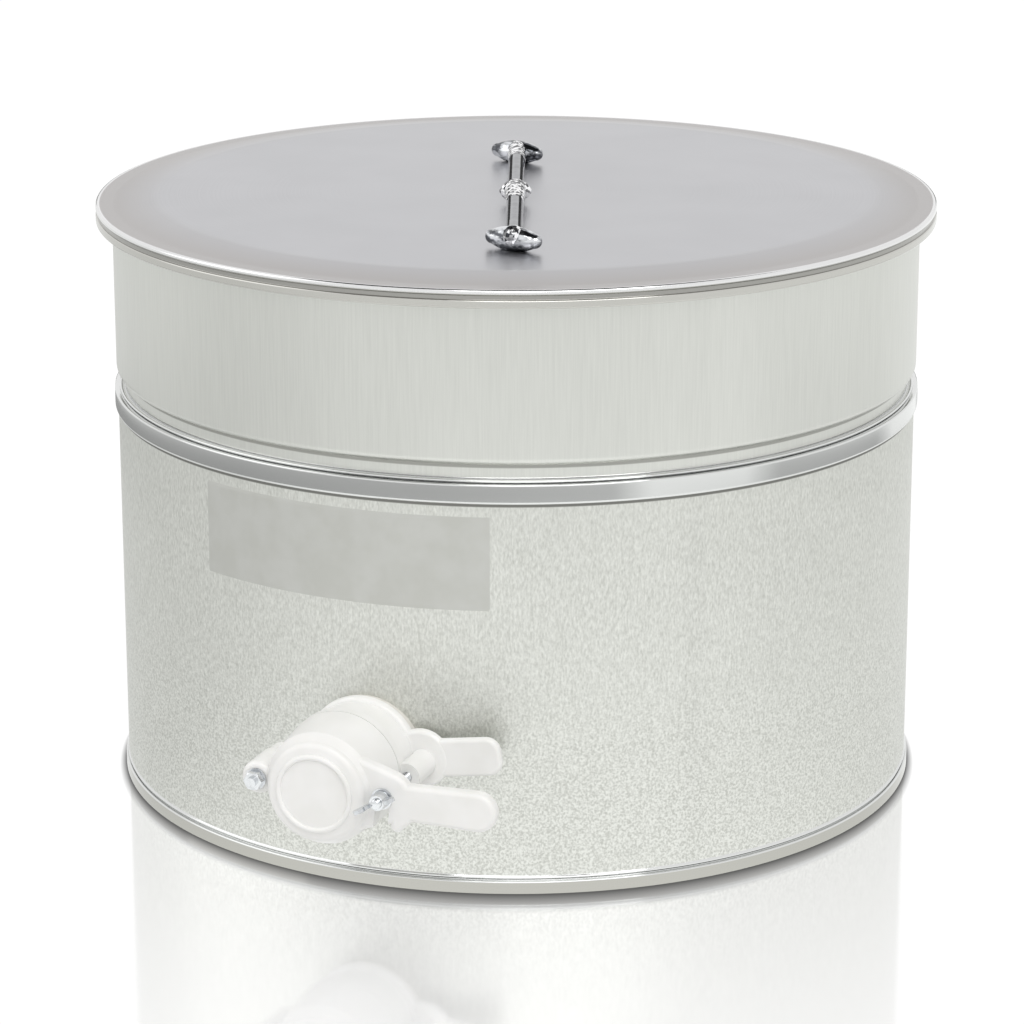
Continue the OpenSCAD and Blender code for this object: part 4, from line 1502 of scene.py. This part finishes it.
    def over_table(self, tree: bpy.types.NodeTree) -> tuple[bpy.types.NodeSocket, bpy.types.NodeSocket]:
        """Measures the place on the table along two fixed directions, to the right and to the front.

        Args:
            tree: Node tree that takes the nodes.

        Returns:
            Distances from the tank's axis to the right and to the front, in metres.
        """
        turn = math.radians(self.front_deg)
        right, front = (math.cos(turn), math.sin(turn), 0.0), (math.sin(turn), -math.cos(turn), 0.0)
        place = object_place(tree)
        across, toward = (add(tree, "ShaderNodeVectorMath", {0: place, 1: way}, operation="DOT_PRODUCT")
                          for way in (right, front))
        return across.outputs["Value"], toward.outputs["Value"]

    def open_table(self, tree: bpy.types.NodeTree, away: bpy.types.NodeSocket) -> bpy.types.Node:
        """The table in the open: matt white with a mirror image that fades away from the tank.

        Args:
            tree: Node tree that takes the nodes.
            away: Distance from the tank's axis.

        Returns:
            The shader's node.
        """
        matt = add(tree, "ShaderNodeBsdfDiffuse", {"Color": linear(self.table_matt)})
        lift = add(tree, "ShaderNodeEmission", {"Color": WHITE, "Strength": self.table_lift})
        bright = add(tree, "ShaderNodeAddShader", {0: matt.outputs[0], 1: lift.outputs[0]})
        bounce = add(tree, "ShaderNodeBsdfDiffuse", {"Color": linear(self.table_bounce)})
        seen = mix_shaders(tree, self.seen_directly(tree), bounce, bright)
        mirror = add(tree, "ShaderNodeBsdfGlossy", {"Color": WHITE, "Roughness": self.mirror_roughness})
        return mix_shaders(tree, ramp_between(tree, away, self.mirror_reach, self.mirror_share), seen, mirror)

    def clear_of_foot(self, tree: bpy.types.NodeTree, away: bpy.types.NodeSocket,
                      facing: bpy.types.NodeSocket) -> bpy.types.NodeSocket:
        """How far the table is out of the shade painted at the tank's foot, which reaches further at the
        front.

        Args:
            tree: Node tree that takes the nodes.
            away: Distance from the tank's axis.
            facing: 1 straight in front of the tank, 0 at its sides.

        Returns:
            Output socket, 1 out of the shade.
        """
        gap = calc(tree, "SUBTRACT", away, self.foot_r)
        square = calc(tree, "POWER", ramp_between(tree, facing, (0.0, 1.0)), 2.0)
        reach = ramp_between(tree, square, (0.0, 1.0), self.foot_reach)
        return ramp_between(tree, calc(tree, "DIVIDE", gap, reach), (0.0, 1.0), (self.foot_shade, 1.0))

    def in_metal(self, tree: bpy.types.NodeTree, away: bpy.types.NodeSocket, across: bpy.types.NodeSocket,
                 facing: bpy.types.NodeSocket) -> bpy.types.Node:
        """The table as metal mirrors it: dimmer at both sides, and dimmest in a ring round the tank.

        The ring gives the rims their grey bands. It is narrow at the front right, where the rims gleam.

        Args:
            tree: Node tree that takes the nodes.
            away: Distance from the tank's axis.
            across: Distance to the right of the tank's axis.
            facing: 1 straight in front of the tank, 0 at its sides.

        Returns:
            The shader's node.
        """
        mirrored = calc(tree, "MULTIPLY_ADD", facing, self.ring_offset, away)
        gleam = band(tree, calc(tree, "DIVIDE", across, away), self.gleam_sideways)
        wide, narrow = (band(tree, mirrored, span) for span in (self.ring_wide, self.ring_narrow))
        ring = mix_value(tree, gleam, wide, narrow)
        side = ramp_between(tree, across, self.side_across, self.side_level)
        front = ramp_between(tree, away, self.front_away, self.front_level)
        dim = ramp_between(tree, across, self.side_across, self.ring_level)
        open_level = mix_value(tree, ramp_between(tree, facing, self.side_facing), front, side)
        level = mix_value(tree, ring, open_level, dim)
        return add(tree, "ShaderNodeEmission", {"Color": linear(self.table_in_metal), "Strength": level})

    def lamp(self, name: str, place: tuple[float, float, float], watts: float) -> None:
        """Large soft box that faces the tank.

        Args:
            name: Name of the lamp.
            place: Where it stands, in metres.
            watts: Its power.
        """
        data = bpy.data.lights.new(name, "AREA")
        data.shape = "SQUARE"
        data.size = self.lamp_size
        data.energy = watts
        lamp = bpy.data.objects.new(name, data)
        lamp.location = place
        aim = np.array(self.lamp_aim) - np.array(place)
        tilt = math.atan2(math.hypot(aim[0], aim[1]), -aim[2])
        lamp.rotation_euler = (tilt, 0.0, math.atan2(aim[1], aim[0]) - math.pi / 2)
        bpy.context.scene.collection.objects.link(lamp)

    def dark_cards(self) -> None:
        """Dark cards behind the tank and over it, seen in reflections alone: they band handle and rims."""
        material, tree = empty_material("dark_card")
        grey = add(tree, "ShaderNodeEmission", {"Color": WHITE, "Strength": self.card_level})
        add(tree, "ShaderNodeOutputMaterial", {"Surface": grey.outputs[0]})
        turn = math.radians(self.front_deg)
        right = np.array([math.cos(turn), math.sin(turn), 0.0])
        behind = np.array([-math.sin(turn), math.cos(turn), 0.0])
        (near, far), (low, high) = self.card_across, self.card_z
        for side, name in ((-1.0, "left"), (1.0, "right")):
            corners = [side * u * right + self.card_away * behind + np.array([0.0, 0.0, z])
                       for u, z in ((near, low), (far, low), (far, high), (near, high))]
            self.hang(f"dark_card_{name}", np.array(corners), material)
        half, z = self.top_card_half, self.top_card_z
        corners = [(-half, -half, z), (half, -half, z), (half, half, z), (-half, half, z)]
        self.hang("dark_card_top", np.array(corners), material)

    def hang(self, name: str, corners: np.ndarray, material: bpy.types.Material) -> None:
        """Hangs a card that only reflections show.

        Args:
            name: Name of the card.
            corners: Its four corners.
            material: Its material.
        """
        card = make_piece(name, corners, [[0, 1, 2, 3]])
        card.data.materials.append(material)
        card.visible_camera = False
        card.visible_diffuse = False
        card.visible_shadow = False


def main() -> None:
    """Builds every sub-assembly in order, then the studio round them."""
    logging.basicConfig(level=logging.INFO, format="%(name)s: %(message)s")
    finishes = Finishes.make()
    Tank().build()
    Sieve().build()
    Lid().build(finishes)
    HoneyGate().build(finishes)
    Camera().build()
    Studio().build()


if __name__ == "__main__":
    main()
